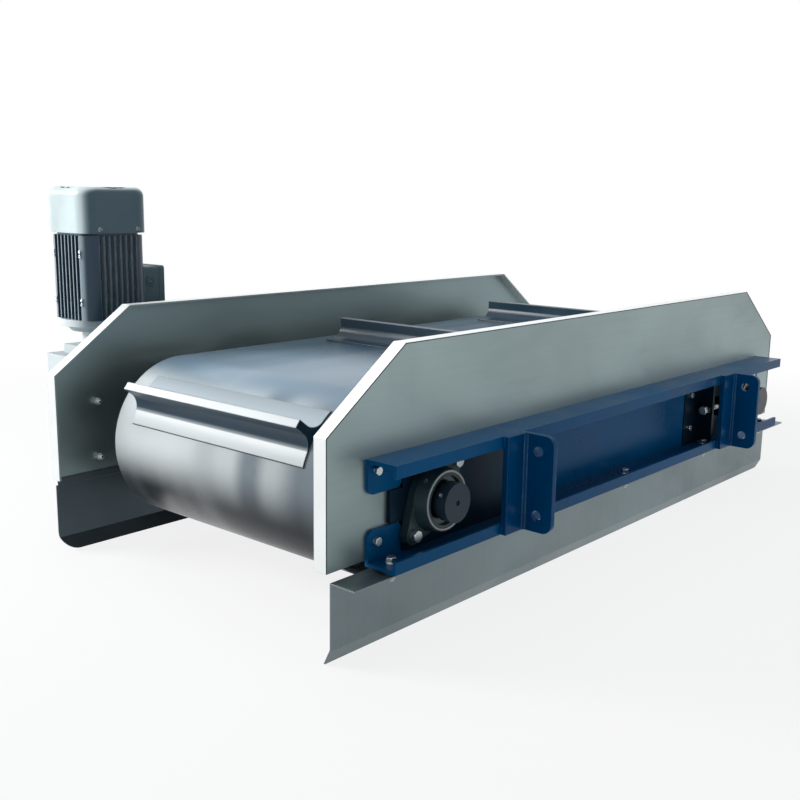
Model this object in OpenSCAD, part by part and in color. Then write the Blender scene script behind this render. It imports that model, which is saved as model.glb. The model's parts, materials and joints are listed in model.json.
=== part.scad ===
// Self-cleaning belt magnetic separator. A cleated belt runs round a fixed magnet between two side plates.
// The build frame has X along the belt with 0 at the plates' front ends, Y across with 0 midway between
// the plates, and Z up with 0 at the plates' lower edges. place() moves all of it to the part's own origin.

/* [Side plates] */
// Length of the side plates
plate_len = 1600; // [1500:10:1800]
// Height of the side plates
plate_h = 325; // [300:1:360]
// Height of the upright end edges
plate_end_h = 204; // [180:1:230]
// Length of the sloped corners along the plates
corner_run = 171; // [120:1:220]
// Width over the two side plates
frame_w = 744; // [720:2:800]
// Sheet thickness of the side plates
plate_t = 4; // [3:0.5:6]
// Width of the fold round the plates' edges
fold_w = 25; // [15:1:30]

/* [Channels] */
// Height of the channels
channel_h = 168; // [160:1:180]
// Depth of the channels
channel_depth = 62; // [52:1:80]
// Thickness of the channels
channel_t = 6; // [4:0.5:8]
// Height of the channels' lips
lip_h = 20; // [14:1:26]
// Distance from the plate ends to the channel ends
channel_inset = 83; // [60:1:100]
// Height of the web legs at the drive end
leg_h = 56; // [45:1:60]
// Length of the web legs at the drive end
leg_len = 76; // [60:1:76]
// Corner radius of the web legs
leg_r = 12; // [4:1:18]
// Length of the window for the drive bearing
drive_window = 280; // [250:1:300]
// Distance from the rear end of the plates to the window for the tail bearing
tail_window = 482; // [470:1:500]
// Length of the web legs at the tail end
tail_leg_len = 62; // [50:1:66]

/* [Hangers] */
// Distance of the front hangers from the plates' front ends
front_hanger_x = 408; // [390:1:430]
// Distance of the rear hangers from the plates' rear ends
rear_hanger_in = 364; // [350:1:385]
// Width of the hangers' outer leg over the channel lips
hanger_leg = 60; // [50:1:70]
// Reach of the hangers' wing beyond the channel lips
hanger_wing = 66; // [58:1:80]
// Thickness of the hangers
hanger_t = 10; // [8:1:14]
// Corner radius of the hangers' wing
hanger_r = 18; // [8:1:22]
// Distance between the two holes of a hanger
hanger_pitch = 111; // [90:1:120]
// Diameter of the hanger holes
hanger_hole = 18; // [12:1:22]
// Distance from the hanger holes to the wing's outer edge
hanger_edge = 30; // [22:1:34]

/* [Skirts] */
// Thickness of the skirt sheets
skirt_t = 3; // [2:0.5:4]
// Distance from the plate ends to the skirt ends
skirt_inset = 8; // [0:1:30]
// Width of the skirts' top flange
skirt_flange = 50; // [40:1:56]
// Height of the skirts' upright web
skirt_web = 105; // [100:1:125]
// Height of the skirts' lower lip
skirt_lip = 26; // [22:1:40]
// Inward reach of the skirts' lower lip
skirt_lip_in = 13; // [8:1:20]
// Corner radius of the far skirt
skirt_r = 38; // [20:1:60]
// Height of the spacers between the channels and the skirts
spacer_h = 6; // [2:0.5:10]

/* [Belt and drums] */
// Height of the drum axes above the plates' lower edges
axis_z = 75; // [70:1:80]
// Distance of the drum axes from the plates' ends
drive_x = 221; // [215:1:230]
// Inner radius of the belt where it wraps a drum
belt_r = 147; // [130:1:148]
// Thickness of the belt
belt_t = 8; // [6:0.5:10]
// Width of the belt
belt_w = 515; // [505:1:560]
// Running gap between the belt and the drums
belt_gap = 0.3; // [0.2:0.05:0.5]
// Amount by which a drum is narrower than the belt on each side
drum_step = 3; // [1:1:10]
// Wall thickness of the drum shells
drum_wall = 8; // [5:0.5:12]
// Thickness of the drums' end discs
disc_t = 12; // [8:1:20]
// Depth of the end discs inside the drum ends
disc_inset = 10; // [6:1:40]
// Diameter of the hubs on the end discs
hub_d = 70; // [60:1:90]
// Diameter of the drum shafts
shaft_d = 40; // [38:0.5:41]
// Diameter of the drum shafts inside the drums
shaft_mid_d = 48; // [44:1:54]

/* [Cleats] */
// Number of cleats on the belt
cleat_count = 6; // [4:1:6]
// Distance of the first cleat behind the drive drum's top along the belt
cleat_start = 406; // [300:1:450]
// Height of the cleats above the belt
cleat_h = 46; // [36:1:50]
// Thickness of the cleats' fin at its tip
cleat_t = 15; // [10:1:18]
// Radius of the cleats' fillets
cleat_fillet = 30; // [14:1:30]
// Width of the cleats' foot
foot_w = 102; // [92:1:120]
// Thickness of the cleats' foot
foot_t = 3; // [2:0.5:4]
// Length of the cleats across the belt
cleat_len = 456; // [400:2:470]
// Distance of the cleats' middle from the belt's middle towards the near side
cleat_shift = 21; // [0:1:24]

/* [Magnet] */
// Gap between the magnet cover and the belt at the drums
magnet_gap = 37; // [30:1:90]
// Width of the magnet cover
magnet_w = 500; // [440:2:520]
// Height of the magnet cover
magnet_h = 186; // [170:1:196]
// Sheet thickness of the magnet cover
cover_t = 3; // [2:0.5:5]
// Thickness of the wear plate under the magnet
wear_t = 5; // [4:0.5:8]
// Thickness of the steel yoke above the magnet blocks
yoke_t = 30; // [20:1:40]
// Number of magnet blocks along the belt
block_rows = 5; // [3:1:6]
// Number of magnet blocks across the belt
block_columns = 3; // [2:1:4]
// Gap between the magnet blocks
block_gap = 4; // [2:0.5:8]
// Height of the cross beams
beam_h = 50; // [40:1:50]
// Width of the cross beams
beam_w = 60; // [50:1:80]
// Wall thickness of the cross beams
beam_wall = 5; // [4:0.5:6]
// Distance between the cross beams
beam_pitch = 480; // [400:10:560]

/* [Bearings] */
// Thickness of the bearing plates
bearing_plate_t = 8; // [6:0.5:10]
// Distance between the two bolts of a bearing unit
unit_pitch = 144; // [136:0.5:146]
// Radius of a bearing unit's ears round its bolts
unit_ear_r = 16; // [13:0.5:18]
// Thickness of the flange of a bearing unit
unit_flange_t = 15; // [12:0.5:18]
// Height of a bearing unit over its plate
unit_h = 39; // [36:0.5:42]
// Diameter of a bearing unit's boss
unit_boss_d = 100; // [96:0.5:104]
// Outer diameter of the bearing inserts
insert_d = 80; // [78:0.5:84]
// Width of the bearings' outer rings
insert_w = 22; // [20:0.5:24]
// Diameter of the bearings' inner rings
sleeve_d = 54; // [50:0.5:56]
// Reach of the inner rings beyond the boss
sleeve_reach = 18; // [12:0.5:24]
// Diameter of the locking collar at the near end of the drive shaft
collar_d = 64; // [60:0.5:70]
// Diameter of the bearing balls
ball_d = 11; // [9:0.5:11.5]
// Number of balls in a bearing
ball_count = 9; // [7:1:10]
// Diameter of the caps over the tail shaft's ends
cap_d = 64; // [60:1:70]
// Height of the caps over the tail shaft's ends
cap_h = 31; // [26:1:36]
// Wall thickness of the caps over the tail shaft's ends
cap_t = 3; // [2:0.5:3]
// Running clearance of balls, rings and screws
run_gap = 0.1; // [0.05:0.01:0.15]

/* [Take-up] */
// Travel of the tail drum towards the drive drum
take_up = 30; // [20:1:30]
// Diameter of the take-up screws
screw_d = 13; // [10:1:20]
// Distance of the take-up screws from the outer face of the side plates
screw_out = 28; // [24:1:30]
// Distance of the anchor lugs from the plates' rear ends
lug_in = 408; // [400:1:415]
// Thickness of the lugs
lug_t = 8; // [6:1:10]

/* [Gear unit] */
// Distance between the drive shaft and the worm
worm_offset = 50; // [50:0.5:50.5]
// Module of the worm gearing
worm_module = 2.5; // [2.4:0.05:2.5]
// Number of starts of the worm
worm_starts = 3; // [2:1:4]
// Number of teeth of the worm wheel
wheel_teeth = 30; // [28:1:30]
// Length of the worm's thread
worm_len = 60; // [50:1:66]
// Width of the worm wheel
wheel_w = 22; // [18:1:26]
// Module of the spur gears
spur_module = 2; // [1.9:0.05:2]
// Number of teeth of the motor pinion
pinion_teeth = 20; // [20:1:20]
// Number of teeth of the spur gear on the worm shaft
spur_teeth = 30; // [30:1:30]
// Width of the spur gears
spur_w = 16; // [12:1:18]
// Length of the gear housing along the belt
gear_len = 178; // [170:1:190]
// Width of the gear housing across the belt
gear_w = 140; // [132:1:150]
// Height of the gear housing's top above the plates' lower edges
gear_top = 207; // [205:1:215]
// Height of the gear housing's bottom above the plates' lower edges
gear_bottom = -20; // [-30:1:-15]
// Wall thickness of the gear housing
gear_wall = 6; // [5:0.5:6]
// Thickness of the plate between the channel and the gear unit
mount_t = 22; // [18:1:26]

/* [Motor] */
// Width of the motor frame over its fins
motor_w = 148; // [144:1:152]
// Corner radius of the motor frame
motor_r = 34; // [28:1:38]
// Width of the smooth pads at the motor frame's corners
pad_w = 28; // [24:1:34]
// Height of the motor frame
motor_h = 172; // [160:1:185]
// Distance between the fins
fin_pitch = 13; // [10:0.25:14]
// Thickness of the fins
fin_t = 3.2; // [2.4:0.1:4]
// Depth of the grooves between the fins
fin_depth = 11; // [8:0.5:12]
// Diameter of the motor shaft
rotor_shaft_d = 28; // [24:1:28]
// Width of the fan cover
fan_cover_w = 158; // [154:1:164]
// Corner radius of the fan cover
fan_cover_corner = 38; // [24:1:50]
// Height of the fan cover
fan_cover_h = 92; // [84:1:100]
// Rounding of the fan cover's top edge
fan_cover_r = 18; // [10:1:22]
// Sheet thickness of the fan cover
fan_cover_t = 2; // [1.5:0.25:3]
// Diameter of the fan
fan_d = 132; // [110:1:140]
// Number of fan blades
blade_count = 8; // [6:1:10]
// Length of the terminal box over the motor frame
box_d = 38; // [34:1:50]
// Width and height of the terminal box
box_w = 98; // [90:1:100]
// Thickness of the terminal box's lid
lid_t = 13; // [8:1:16]
// Corner radius of the terminal box
box_r = 6; // [3:0.5:10]

/* [Hidden] */
$fn = 72;
function odd(n) = n % 2;

// Faces of the plates, the channels and the hangers, measured across the belt
plate_y = frame_w / 2;
web_y = plate_y + channel_t;
lip_y = plate_y + channel_depth;
leg_y = lip_y + hanger_t;
wing_y = lip_y + hanger_wing;
channel_bottom = axis_z - channel_h / 2;
channel_top = axis_z + channel_h / 2;
drive_window_x = channel_inset + leg_len;
tail_window_x = plate_len - tail_window;
corner_angle = atan2(plate_h - plate_end_h, corner_run);
skirt_top = channel_bottom - spacer_h;
skirt_bottom = skirt_top - skirt_web - skirt_lip;
tail_x = plate_len - drive_x;
axis_gap = tail_x - drive_x;
rear_hanger_x = plate_len - rear_hanger_in;
lug_x = plate_len - lug_in;
magnet_len = axis_gap - take_up - 2 * belt_r - 2 * magnet_gap;
belt_out = belt_r + belt_t;
drum_r = belt_r - belt_gap;
drum_w = belt_w - 2 * drum_step;
loop_len = 2 * axis_gap + 2 * PI * belt_out;

// Motor and gear unit
gear_y = lip_y + mount_t + gear_w / 2;
worm_x = drive_x - worm_offset;
worm_r = worm_offset - worm_module * wheel_teeth / 2;
worm_lead = PI * worm_module * worm_starts;
wheel_pitch_r = worm_module * wheel_teeth / 2;
adapter_h = 18;
neck_h = 32;
dome_h = 12;
adapter_flange_t = 14;
adapter_flange_d = 166;
motor_z = gear_top + adapter_h + neck_h + dome_h + adapter_flange_t;
fan_cover_z = motor_z + motor_h + 5;
motor_top = fan_cover_z + fan_cover_h;
box_base = 3;
box_x = drive_x + motor_w / 2 + box_base;
box_z = motor_z + 6;

cover_screw_out = 2;
far_reach = gear_y + max(adapter_flange_d / 2, fan_cover_w / 2 + cover_screw_out);
mid_y = (far_reach - wing_y) / 2;
small = 0.01;

module place() {
    translate([-plate_len / 2, -mid_y, -skirt_bottom]) children();
}
// Turns an outline drawn with X along the belt and Y up into a slab that spans y0 to y1
module slab(y0, y1) {
    translate([0, y1, 0]) rotate([90, 0, 0]) linear_extrude(y1 - y0) children();
}
// Mirrors what is drawn for the near side to the far side
module on_side(side) {
    if (side > 0) mirror([0, 1, 0]) children();
    else children();
}
module both_sides() {
    children();
    mirror([0, 1, 0]) children();
}
// A round bar along Y
module bar_y(x, z, y0, y1, d) {
    translate([x, y1, z]) rotate([90, 0, 0]) cylinder(d = d, h = y1 - y0);
}
module bar_x(x0, x1, y, z, d) {
    translate([x0, y, z]) rotate([0, 90, 0]) cylinder(d = d, h = x1 - x0);
}
// A hexagon head with a spring washer, standing on the face y towards the near side
washer_t = 2;
corners_share = 1.1547;
module hex_y(x, z, y, across, h) {
    bar_y(x, z, y - washer_t, y, across);
    translate([x, y - washer_t, z]) rotate([90, 30, 0]) cylinder(d = across * corners_share, h = h, $fn = 6);
}
module rounded_square(w, r) {
    square([w - 2 * r, w], center = true);
    square([w, w - 2 * r], center = true);
    for (x = [-1, 1], y = [-1, 1]) translate([x * (w / 2 - r), y * (w / 2 - r)]) circle(r = r);
}

// Outline of a side plate, drawn in by d at its ends, corners and top, and reaching down to low
function plate_outline(d, low) = [
    [d, low],
    [d, plate_end_h - d * tan((90 - corner_angle) / 2)],
    [corner_run + d * tan(corner_angle / 2), plate_h - d],
    [plate_len - corner_run - d * tan(corner_angle / 2), plate_h - d],
    [plate_len - d, plate_end_h - d * tan((90 - corner_angle) / 2)],
    [plate_len - d, low]];
shaft_hole_d = shaft_mid_d + 14;
module side_plate(side) {
    on_side(side) difference() {
        slab(-plate_y, -plate_y + fold_w) polygon(plate_outline(0, 0));
        slab(-plate_y + plate_t, -plate_y + fold_w + 1) polygon(plate_outline(plate_t, -1));
        bar_y(drive_x, axis_z, -plate_y - 1, -plate_y + plate_t + 1, shaft_hole_d);
        slab(-plate_y - 1, -plate_y + plate_t + 1) translate([tail_x, axis_z]) shaft_slot();
        for (p = leg_bolts) bar_y(p[0], p[1], -plate_y - 1, -plate_y + plate_t + 1, leg_bolt_d + 1);
    }
}
module shaft_slot() {
    circle(d = shaft_hole_d);
    translate([-take_up, 0]) circle(d = shaft_hole_d);
    translate([-take_up, -shaft_hole_d / 2]) square([take_up, shaft_hole_d]);
}
module near_side_plate() { color([0.56, 0.61, 0.6]) place() side_plate(-1); }
module far_side_plate() { color([0.5, 0.54, 0.54]) place() side_plate(1); }

// Bolts through the channel legs and the side plate
leg_bolt_d = 8;
leg_bolt_in = 17;
low_bolt_rise = 38;
high_bolt_drop = 19;
leg_bolts = [for (x = [channel_inset + leg_bolt_in, plate_len - channel_inset - leg_bolt_in],
    z = [channel_bottom + low_bolt_rise, channel_top - high_bolt_drop]) [x, z]];
slot_h = channel_h - 2 * leg_h;
tail_leg_x = plate_len - channel_inset - tail_leg_len;
// A leg of the web, with its corners at the slot rounded
module web_leg(x, length) {
    translate([x, channel_bottom]) square([length, leg_h - leg_r]);
    translate([x + leg_r, channel_bottom]) square([length - 2 * leg_r, leg_h]);
    for (e = [leg_r, length - leg_r]) translate([x + e, channel_bottom + leg_h - leg_r]) circle(r = leg_r);
}
module channel_web() {
    middle_x = drive_window_x + drive_window;
    difference() {
        union() {
            for (up = [0, 1]) translate([0, axis_z]) mirror([0, up]) translate([0, -axis_z]) {
                web_leg(channel_inset, leg_len);
                web_leg(tail_leg_x, tail_leg_len);
            }
            translate([middle_x, channel_bottom]) square([tail_window_x - middle_x, channel_h]);
        }
        for (p = leg_bolts) translate(p) circle(d = leg_bolt_d + 1);
    }
}
module channel(side) {
    z0 = channel_bottom;
    length = plate_len - 2 * channel_inset;
    on_side(side) difference() {
        union() {
            slab(-web_y, -plate_y) channel_web();
            for (z = [z0, channel_top - channel_t])
                translate([channel_inset, -lip_y, z]) cube([length, channel_depth, channel_t]);
            for (z = [z0, channel_top - lip_h])
                translate([channel_inset, -lip_y, z]) cube([length, channel_t, lip_h]);
        }
        for (x = skirt_bolts) translate([x, -skirt_bolt_y, z0 - 1]) cylinder(d = skirt_bolt_d + 1, h = channel_t + 2);
    }
}
module near_channel() { color([0.02, 0.2, 0.36]) place() channel(-1); }
module far_channel() { color([0.02, 0.2, 0.36]) place() channel(1); }

module hanger(x, side) {
    height = channel_h;
    on_side(side) translate([x, 0, channel_bottom]) difference() {
        union() {
            translate([-hanger_leg, -leg_y, 0]) cube([hanger_leg, hanger_t, height]);
            translate([-hanger_t, 0, 0]) rotate([90, 0, 90]) linear_extrude(hanger_t) wing_outline(height);
        }
        for (up = [-1, 1]) bar_x(-hanger_t - 1, 1, -wing_y + hanger_edge, height / 2 + up * hanger_pitch / 2, hanger_hole);
    }
}
module wing_outline(height) {
    translate([-wing_y, hanger_r]) square([hanger_wing, height - 2 * hanger_r]);
    translate([-wing_y + hanger_r, 0]) square([hanger_wing - hanger_r, height]);
    for (y = [hanger_r, height - hanger_r]) translate([-wing_y + hanger_r, y]) circle(r = hanger_r);
}
module near_front_hanger() { color([0.02, 0.16, 0.3]) place() hanger(front_hanger_x, -1); }
module near_rear_hanger() { color([0.02, 0.16, 0.3]) place() hanger(rear_hanger_x, -1); }
module far_front_hanger() { color([0.02, 0.16, 0.3]) place() hanger(front_hanger_x, 1); }
module far_rear_hanger() { color([0.02, 0.16, 0.3]) place() hanger(rear_hanger_x, 1); }

// Bolts that hold the skirts' top flange under the channels
skirt_bolt_d = 10;
skirt_bolt_y = plate_y + skirt_flange / 2 + 4;
skirt_bolt_pitch = 356;
skirt_bolt_first = channel_inset + 27;
skirt_bolt_steps = floor((plate_len - 2 * skirt_bolt_first - 4 * skirt_bolt_d) / skirt_bolt_pitch);
skirt_bolts = concat([for (i = [0:skirt_bolt_steps]) skirt_bolt_first + i * skirt_bolt_pitch], [plate_len - skirt_bolt_first]);
module skirt(side, corner) {
    y = -plate_y;
    web_end = skirt_top - skirt_web;
    slope = skirt_lip_in / skirt_lip;
    length = plate_len - 2 * skirt_inset;
    on_side(side) difference() {
        translate([skirt_inset, 0, 0]) rotate([90, 0, 90]) linear_extrude(length) polygon([
            [y - skirt_flange, skirt_top], [y, skirt_top], [y, web_end], [y + skirt_lip_in, skirt_bottom],
            [y + skirt_lip_in - skirt_t, skirt_bottom], [y - skirt_t, web_end - skirt_t * slope],
            [y - skirt_t, skirt_top - skirt_t], [y - skirt_flange, skirt_top - skirt_t]]);
        for (x = skirt_bolts) translate([x, -skirt_bolt_y, skirt_top - skirt_t - 1]) cylinder(d = skirt_bolt_d + 1, h = skirt_t + 2);
        if (corner > 0) for (x = [0, plate_len - channel_inset])
            translate([x - 1, y - skirt_flange - 1, skirt_top - skirt_t - 1])
                cube([channel_inset + 1, skirt_flange - skirt_t + 1, skirt_t + 2]);
        if (corner > 0) slab(y - skirt_flange - 1, y + skirt_lip_in + 1)
            translate([skirt_inset, skirt_bottom]) difference() {
                translate([-1, -1]) square([corner + 1, corner + 1]);
                translate([corner, corner]) circle(r = corner);
            }
    }
}
module near_skirt() { color([0.45, 0.5, 0.5]) place() skirt(-1, 0); }
module far_skirt() { color([0.4, 0.44, 0.44]) place() skirt(1, skirt_r); }

// The endless belt and its cleats, drawn in the plane of X and Z
module loop(r) {
    translate([drive_x, axis_z]) circle(r = r, $fn = 96);
    translate([tail_x, axis_z]) circle(r = r, $fn = 96);
    translate([drive_x, axis_z - r]) square([axis_gap, 2 * r]);
}
// Place and turn of a point that lies s along the belt's outer face, from the drive drum's top rearwards
half_wrap = PI * belt_out;
function at_belt(s) =
    s < axis_gap ? [drive_x + s, axis_z + belt_out, 0] :
    s < axis_gap + half_wrap ? round_at(tail_x, 90 - (s - axis_gap) / belt_out * 180 / PI) :
    s < 2 * axis_gap + half_wrap ? [tail_x - (s - axis_gap - half_wrap), axis_z - belt_out, 180] :
    round_at(drive_x, 270 - (s - 2 * axis_gap - half_wrap) / belt_out * 180 / PI);
function round_at(x, a) = [x + belt_out * cos(a), axis_z + belt_out * sin(a), a - 90];
module belt() {
    color([0.6, 0.64, 0.68]) place() slab(-belt_w / 2, belt_w / 2) difference() {
        loop(belt_out);
        loop(belt_r);
    }
}
// The fillets run into the fin and the foot at a small angle, so that no knife edge is left. A foot on a
// drum is bent, so its fillets touch it lower and nearer to the fin.
fillet_sink = 0.5;
module cleat_outline(bent) {
    foot_r = belt_out + foot_t;
    across = cleat_t / 2 + cleat_fillet;
    rise = bent ? sqrt(pow(foot_r + cleat_fillet, 2) - pow(across, 2)) - belt_out : foot_t + cleat_fillet;
    touch = bent ? across * foot_r / (foot_r + cleat_fillet) : across;
    translate([-cleat_t / 2, -foot_w / 4]) square([cleat_t, cleat_h + foot_w / 4]);
    for (side = [0, 1]) mirror([side, 0]) difference() {
        translate([cleat_t / 2 - fillet_sink, -2 * foot_t]) square([touch - cleat_t / 2 - fillet_sink, rise + 2 * foot_t - fillet_sink]);
        translate([across - fillet_sink, rise - fillet_sink]) circle(r = cleat_fillet);
    }
}
module cleat(i) {
    s = (cleat_start + i * loop_len / cleat_count) % loop_len;
    p = at_belt(s);
    color([0.42, 0.46, 0.5]) place() slab(-cleat_shift - cleat_len / 2, -cleat_shift + cleat_len / 2) difference() {
        union() {
            intersection() {
                loop(belt_out + foot_t);
                translate([p[0], p[1]]) rotate(p[2]) square([foot_w, foot_w], center = true);
            }
            translate([p[0], p[1]]) rotate(p[2]) cleat_outline(p[2] % 180 != 0);
        }
        loop(belt_out);
    }
}
module cleat_1() { if (cleat_count > 0) cleat(cleat_count - 1); }
module cleat_2() { if (cleat_count > 1) cleat(0); }
module cleat_3() { if (cleat_count > 2) cleat(1); }
module cleat_4() { if (cleat_count > 3) cleat(2); }
module cleat_5() { if (cleat_count > 4) cleat(3); }
module cleat_6() { if (cleat_count > 5) cleat(4); }

// The magnet inside the belt, carried by two cross beams
belt_floor = axis_z - belt_r;
cover_z = belt_floor + wear_t;
magnet_x = drive_x + (axis_gap - take_up) / 2;
yoke_z = cover_z + magnet_h - yoke_t;
beam_foot_t = 6;
beam_z = cover_z + magnet_h + beam_foot_t;
beam_xs = [magnet_x - beam_pitch / 2, magnet_x + beam_pitch / 2];
beam_end_t = 8;
beam_end = plate_y - plate_t;
module box_at(x, z, length, width, height) {
    translate([x - length / 2, -width / 2, z]) cube([length, width, height]);
}
module magnet_cover() {
    color([0.7, 0.72, 0.73]) place() difference() {
        box_at(magnet_x, cover_z, magnet_len, magnet_w, magnet_h);
        box_at(magnet_x, cover_z + cover_t, magnet_len - 2 * cover_t, magnet_w - 2 * cover_t, magnet_h);
    }
}
module magnet_wear_plate() {
    color([0.74, 0.76, 0.77]) place() box_at(magnet_x, belt_floor, magnet_len, magnet_w, wear_t);
}
inner_len = magnet_len - 2 * cover_t;
inner_w = magnet_w - 2 * cover_t;
module magnet_yoke() {
    color([0.35, 0.36, 0.38]) place() box_at(magnet_x, yoke_z, inner_len, inner_w, yoke_t);
}
module magnet_blocks() {
    step_x = inner_len / block_rows;
    step_y = inner_w / block_columns;
    height = yoke_z - cover_z - cover_t;
    color([0.2, 0.2, 0.22]) place() for (i = [0:block_rows - 1], j = [0:block_columns - 1])
        translate([magnet_x - inner_len / 2 + i * step_x + block_gap / 2,
            -inner_w / 2 + j * step_y + block_gap / 2, cover_z + cover_t])
            cube([step_x - block_gap, step_y - block_gap, height]);
}
module cross_beams() {
    end_w = beam_w + 40;
    color([0.5, 0.55, 0.55]) place() for (x = beam_xs) {
        difference() {
            box_at(x, beam_z, beam_w, 2 * beam_end, beam_h);
            box_at(x, beam_z + beam_wall, beam_w - 2 * beam_wall, 2 * beam_end + 2, beam_h - 2 * beam_wall);
        }
        box_at(x, beam_z - beam_foot_t, beam_w + 50, magnet_w - 40, beam_foot_t);
        both_sides() difference() {
            translate([x - end_w / 2, -beam_end, beam_z - 10]) cube([end_w, beam_end_t, beam_h + 20]);
            translate([x - beam_w / 2 + beam_wall, -beam_end - 1, beam_z + beam_wall])
                cube([beam_w - 2 * beam_wall, beam_end_t + 2, beam_h - 2 * beam_wall]);
        }
    }
}

// Drums and shafts; end is the distance from the middle to the shaft's far end
shaft_end = plate_y + bearing_plate_t + unit_h + sleeve_reach;
drum_wall_in = drum_r - drum_wall;
module drum(x) {
    color([0.32, 0.34, 0.35]) place() {
        difference() {
            bar_y(x, axis_z, -drum_w / 2, drum_w / 2, 2 * drum_r);
            bar_y(x, axis_z, -drum_w / 2 - 1, drum_w / 2 + 1, 2 * drum_wall_in);
        }
        both_sides() difference() {
            union() {
                bar_y(x, axis_z, -drum_w / 2 + disc_inset, -drum_w / 2 + disc_inset + disc_t, 2 * drum_wall_in);
                bar_y(x, axis_z, -drum_w / 2 + disc_inset / 2, -drum_w / 2 + disc_inset + 2 * disc_t, hub_d);
            }
            bar_y(x, axis_z, -drum_w / 2, -drum_w / 2 + disc_inset + 3 * disc_t, shaft_mid_d);
        }
    }
}
module shaft(x, far_end, far_step) {
    color([0.6, 0.62, 0.64]) place() difference() {
        union() {
            bar_y(x, axis_z, -shaft_end, far_end, shaft_d);
            bar_y(x, axis_z, -shaft_step, far_step, shaft_mid_d);
        }
        both_centres(x, -shaft_end, far_end);
    }
}
// Small centre holes in the two ends of a shaft
centre_d = 9;
module both_centres(x, near_end, far_end) {
    bar_y(x, axis_z, near_end - 1, near_end + 8, centre_d);
    bar_y(x, axis_z, far_end - 8, far_end + 1, centre_d);
}
unit_y = plate_y + bearing_plate_t;
ring_y = unit_y + (unit_h - insert_w) / 2 + 3;
shaft_step = unit_y + 4;
gear_face = gear_y + gear_w / 2;
drive_shaft_end = gear_face - gear_wall - 14;
module drive_drum() { drum(drive_x); }
module tail_drum() { drum(tail_x); }
module drive_shaft() { shaft(drive_x, drive_shaft_end, shaft_step); }
module tail_shaft() { shaft(tail_x, shaft_end, shaft_step); }

// Flange bearing units with two bolts each, set on a slant
unit_turn = 45;
unit_bolt_x = unit_pitch / 2 * cos(unit_turn);
unit_bolt_z = unit_pitch / 2 * sin(unit_turn);
module unit_outline() {
    flare = asin((unit_boss_d / 2 - unit_ear_r) / (unit_pitch / 2));
    c = cos(flare);
    s = sin(flare);
    circle(d = unit_boss_d);
    rotate(unit_turn) for (side = [0, 1]) mirror([side, 0]) {
        translate([unit_pitch / 2, 0]) circle(r = unit_ear_r);
        polygon([[unit_boss_d / 2 * s, unit_boss_d / 2 * c], [unit_pitch / 2 + unit_ear_r * s, unit_ear_r * c],
            [unit_pitch / 2 + unit_ear_r * s, -unit_ear_r * c], [unit_boss_d / 2 * s, -unit_boss_d / 2 * c]]);
    }
}
module unit_housing(x, side) {
    color([0.14, 0.2, 0.2]) place() on_side(side) difference() {
        union() {
            slab(-unit_y - unit_flange_t, -unit_y) translate([x, axis_z]) difference() {
                unit_outline();
                for (i = [-1, 1]) translate([i * unit_bolt_x, i * unit_bolt_z]) circle(d = unit_bolt_d + 2);
            }
            translate([x, -unit_y - unit_flange_t + small, axis_z]) rotate([90, 0, 0])
                cylinder(d1 = unit_boss_d + 8, d2 = unit_boss_d, h = unit_h - unit_flange_t + small);
        }
        bar_y(x, axis_z, -unit_y - unit_h - 1, -ring_y, insert_d);
        bar_y(x, axis_z, -ring_y - 1, -unit_y + 1, insert_d - 8);
    }
}
unit_bolt_d = 12;
seal_gap = 0.3;
seal_t = 2;
race_share = 0.45;
race_r = (insert_d + sleeve_d) / 4;
sleeve_inset = 6;
ball_y = ring_y + insert_w / 2;
// A ring with a ball groove, its near face at -ring_y
module ring(x, d_out, d_in, y0, y1) {
    difference() {
        bar_y(x, axis_z, -y1, -y0, d_out);
        bar_y(x, axis_z, -y1 - 1, -y0 + 1, d_in);
        ball_groove(x);
    }
}
module ball_groove(x) {
    translate([x, -ball_y, axis_z]) rotate([90, 0, 0]) rotate_extrude() translate([race_r, 0]) circle(d = ball_d + 2 * run_gap);
}
module outer_rings(x) {
    color([0.75, 0.77, 0.78]) place() both_sides() {
        ring(x, insert_d, 2 * race_r + ball_d * race_share, ring_y, ring_y + insert_w);
        difference() {
            bar_y(x, axis_z, -ring_y - insert_w, -ring_y - insert_w + seal_t, 2 * race_r + ball_d * race_share);
            bar_y(x, axis_z, -ring_y - insert_w - 1, -ring_y - insert_w + seal_t + 1, sleeve_d + 2 * seal_gap);
        }
    }
}
module balls(x) {
    color([0.8, 0.82, 0.84]) place() both_sides() for (i = [0:ball_count - 1])
        translate([x + race_r * cos(i * 360 / ball_count), -ball_y, axis_z + race_r * sin(i * 360 / ball_count)])
            sphere(d = ball_d, $fn = 24);
}
// Inner rings reach out past the boss and carry a set screw; the far one of the drive drum ends the same way
module inner_rings(x) {
    color([0.3, 0.34, 0.36]) place() both_sides() difference() {
        union() {
            ring(x, 2 * race_r - ball_d * race_share, shaft_d, ring_y, ring_y + insert_w - seal_t - seal_gap);
            bar_y(x, axis_z, -shaft_end, -unit_y - sleeve_inset, sleeve_d);
        }
        bar_y(x, axis_z, -shaft_end - 1, -unit_y, shaft_d);
        ball_groove(x);
        translate([x, -unit_y - unit_h - sleeve_reach / 2, axis_z]) rotate([0, -60, 0]) cylinder(d = set_screw_d, h = sleeve_d);
    }
}
set_screw_d = 8;
collar_t = 4;
collar_gap = 2;
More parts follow.
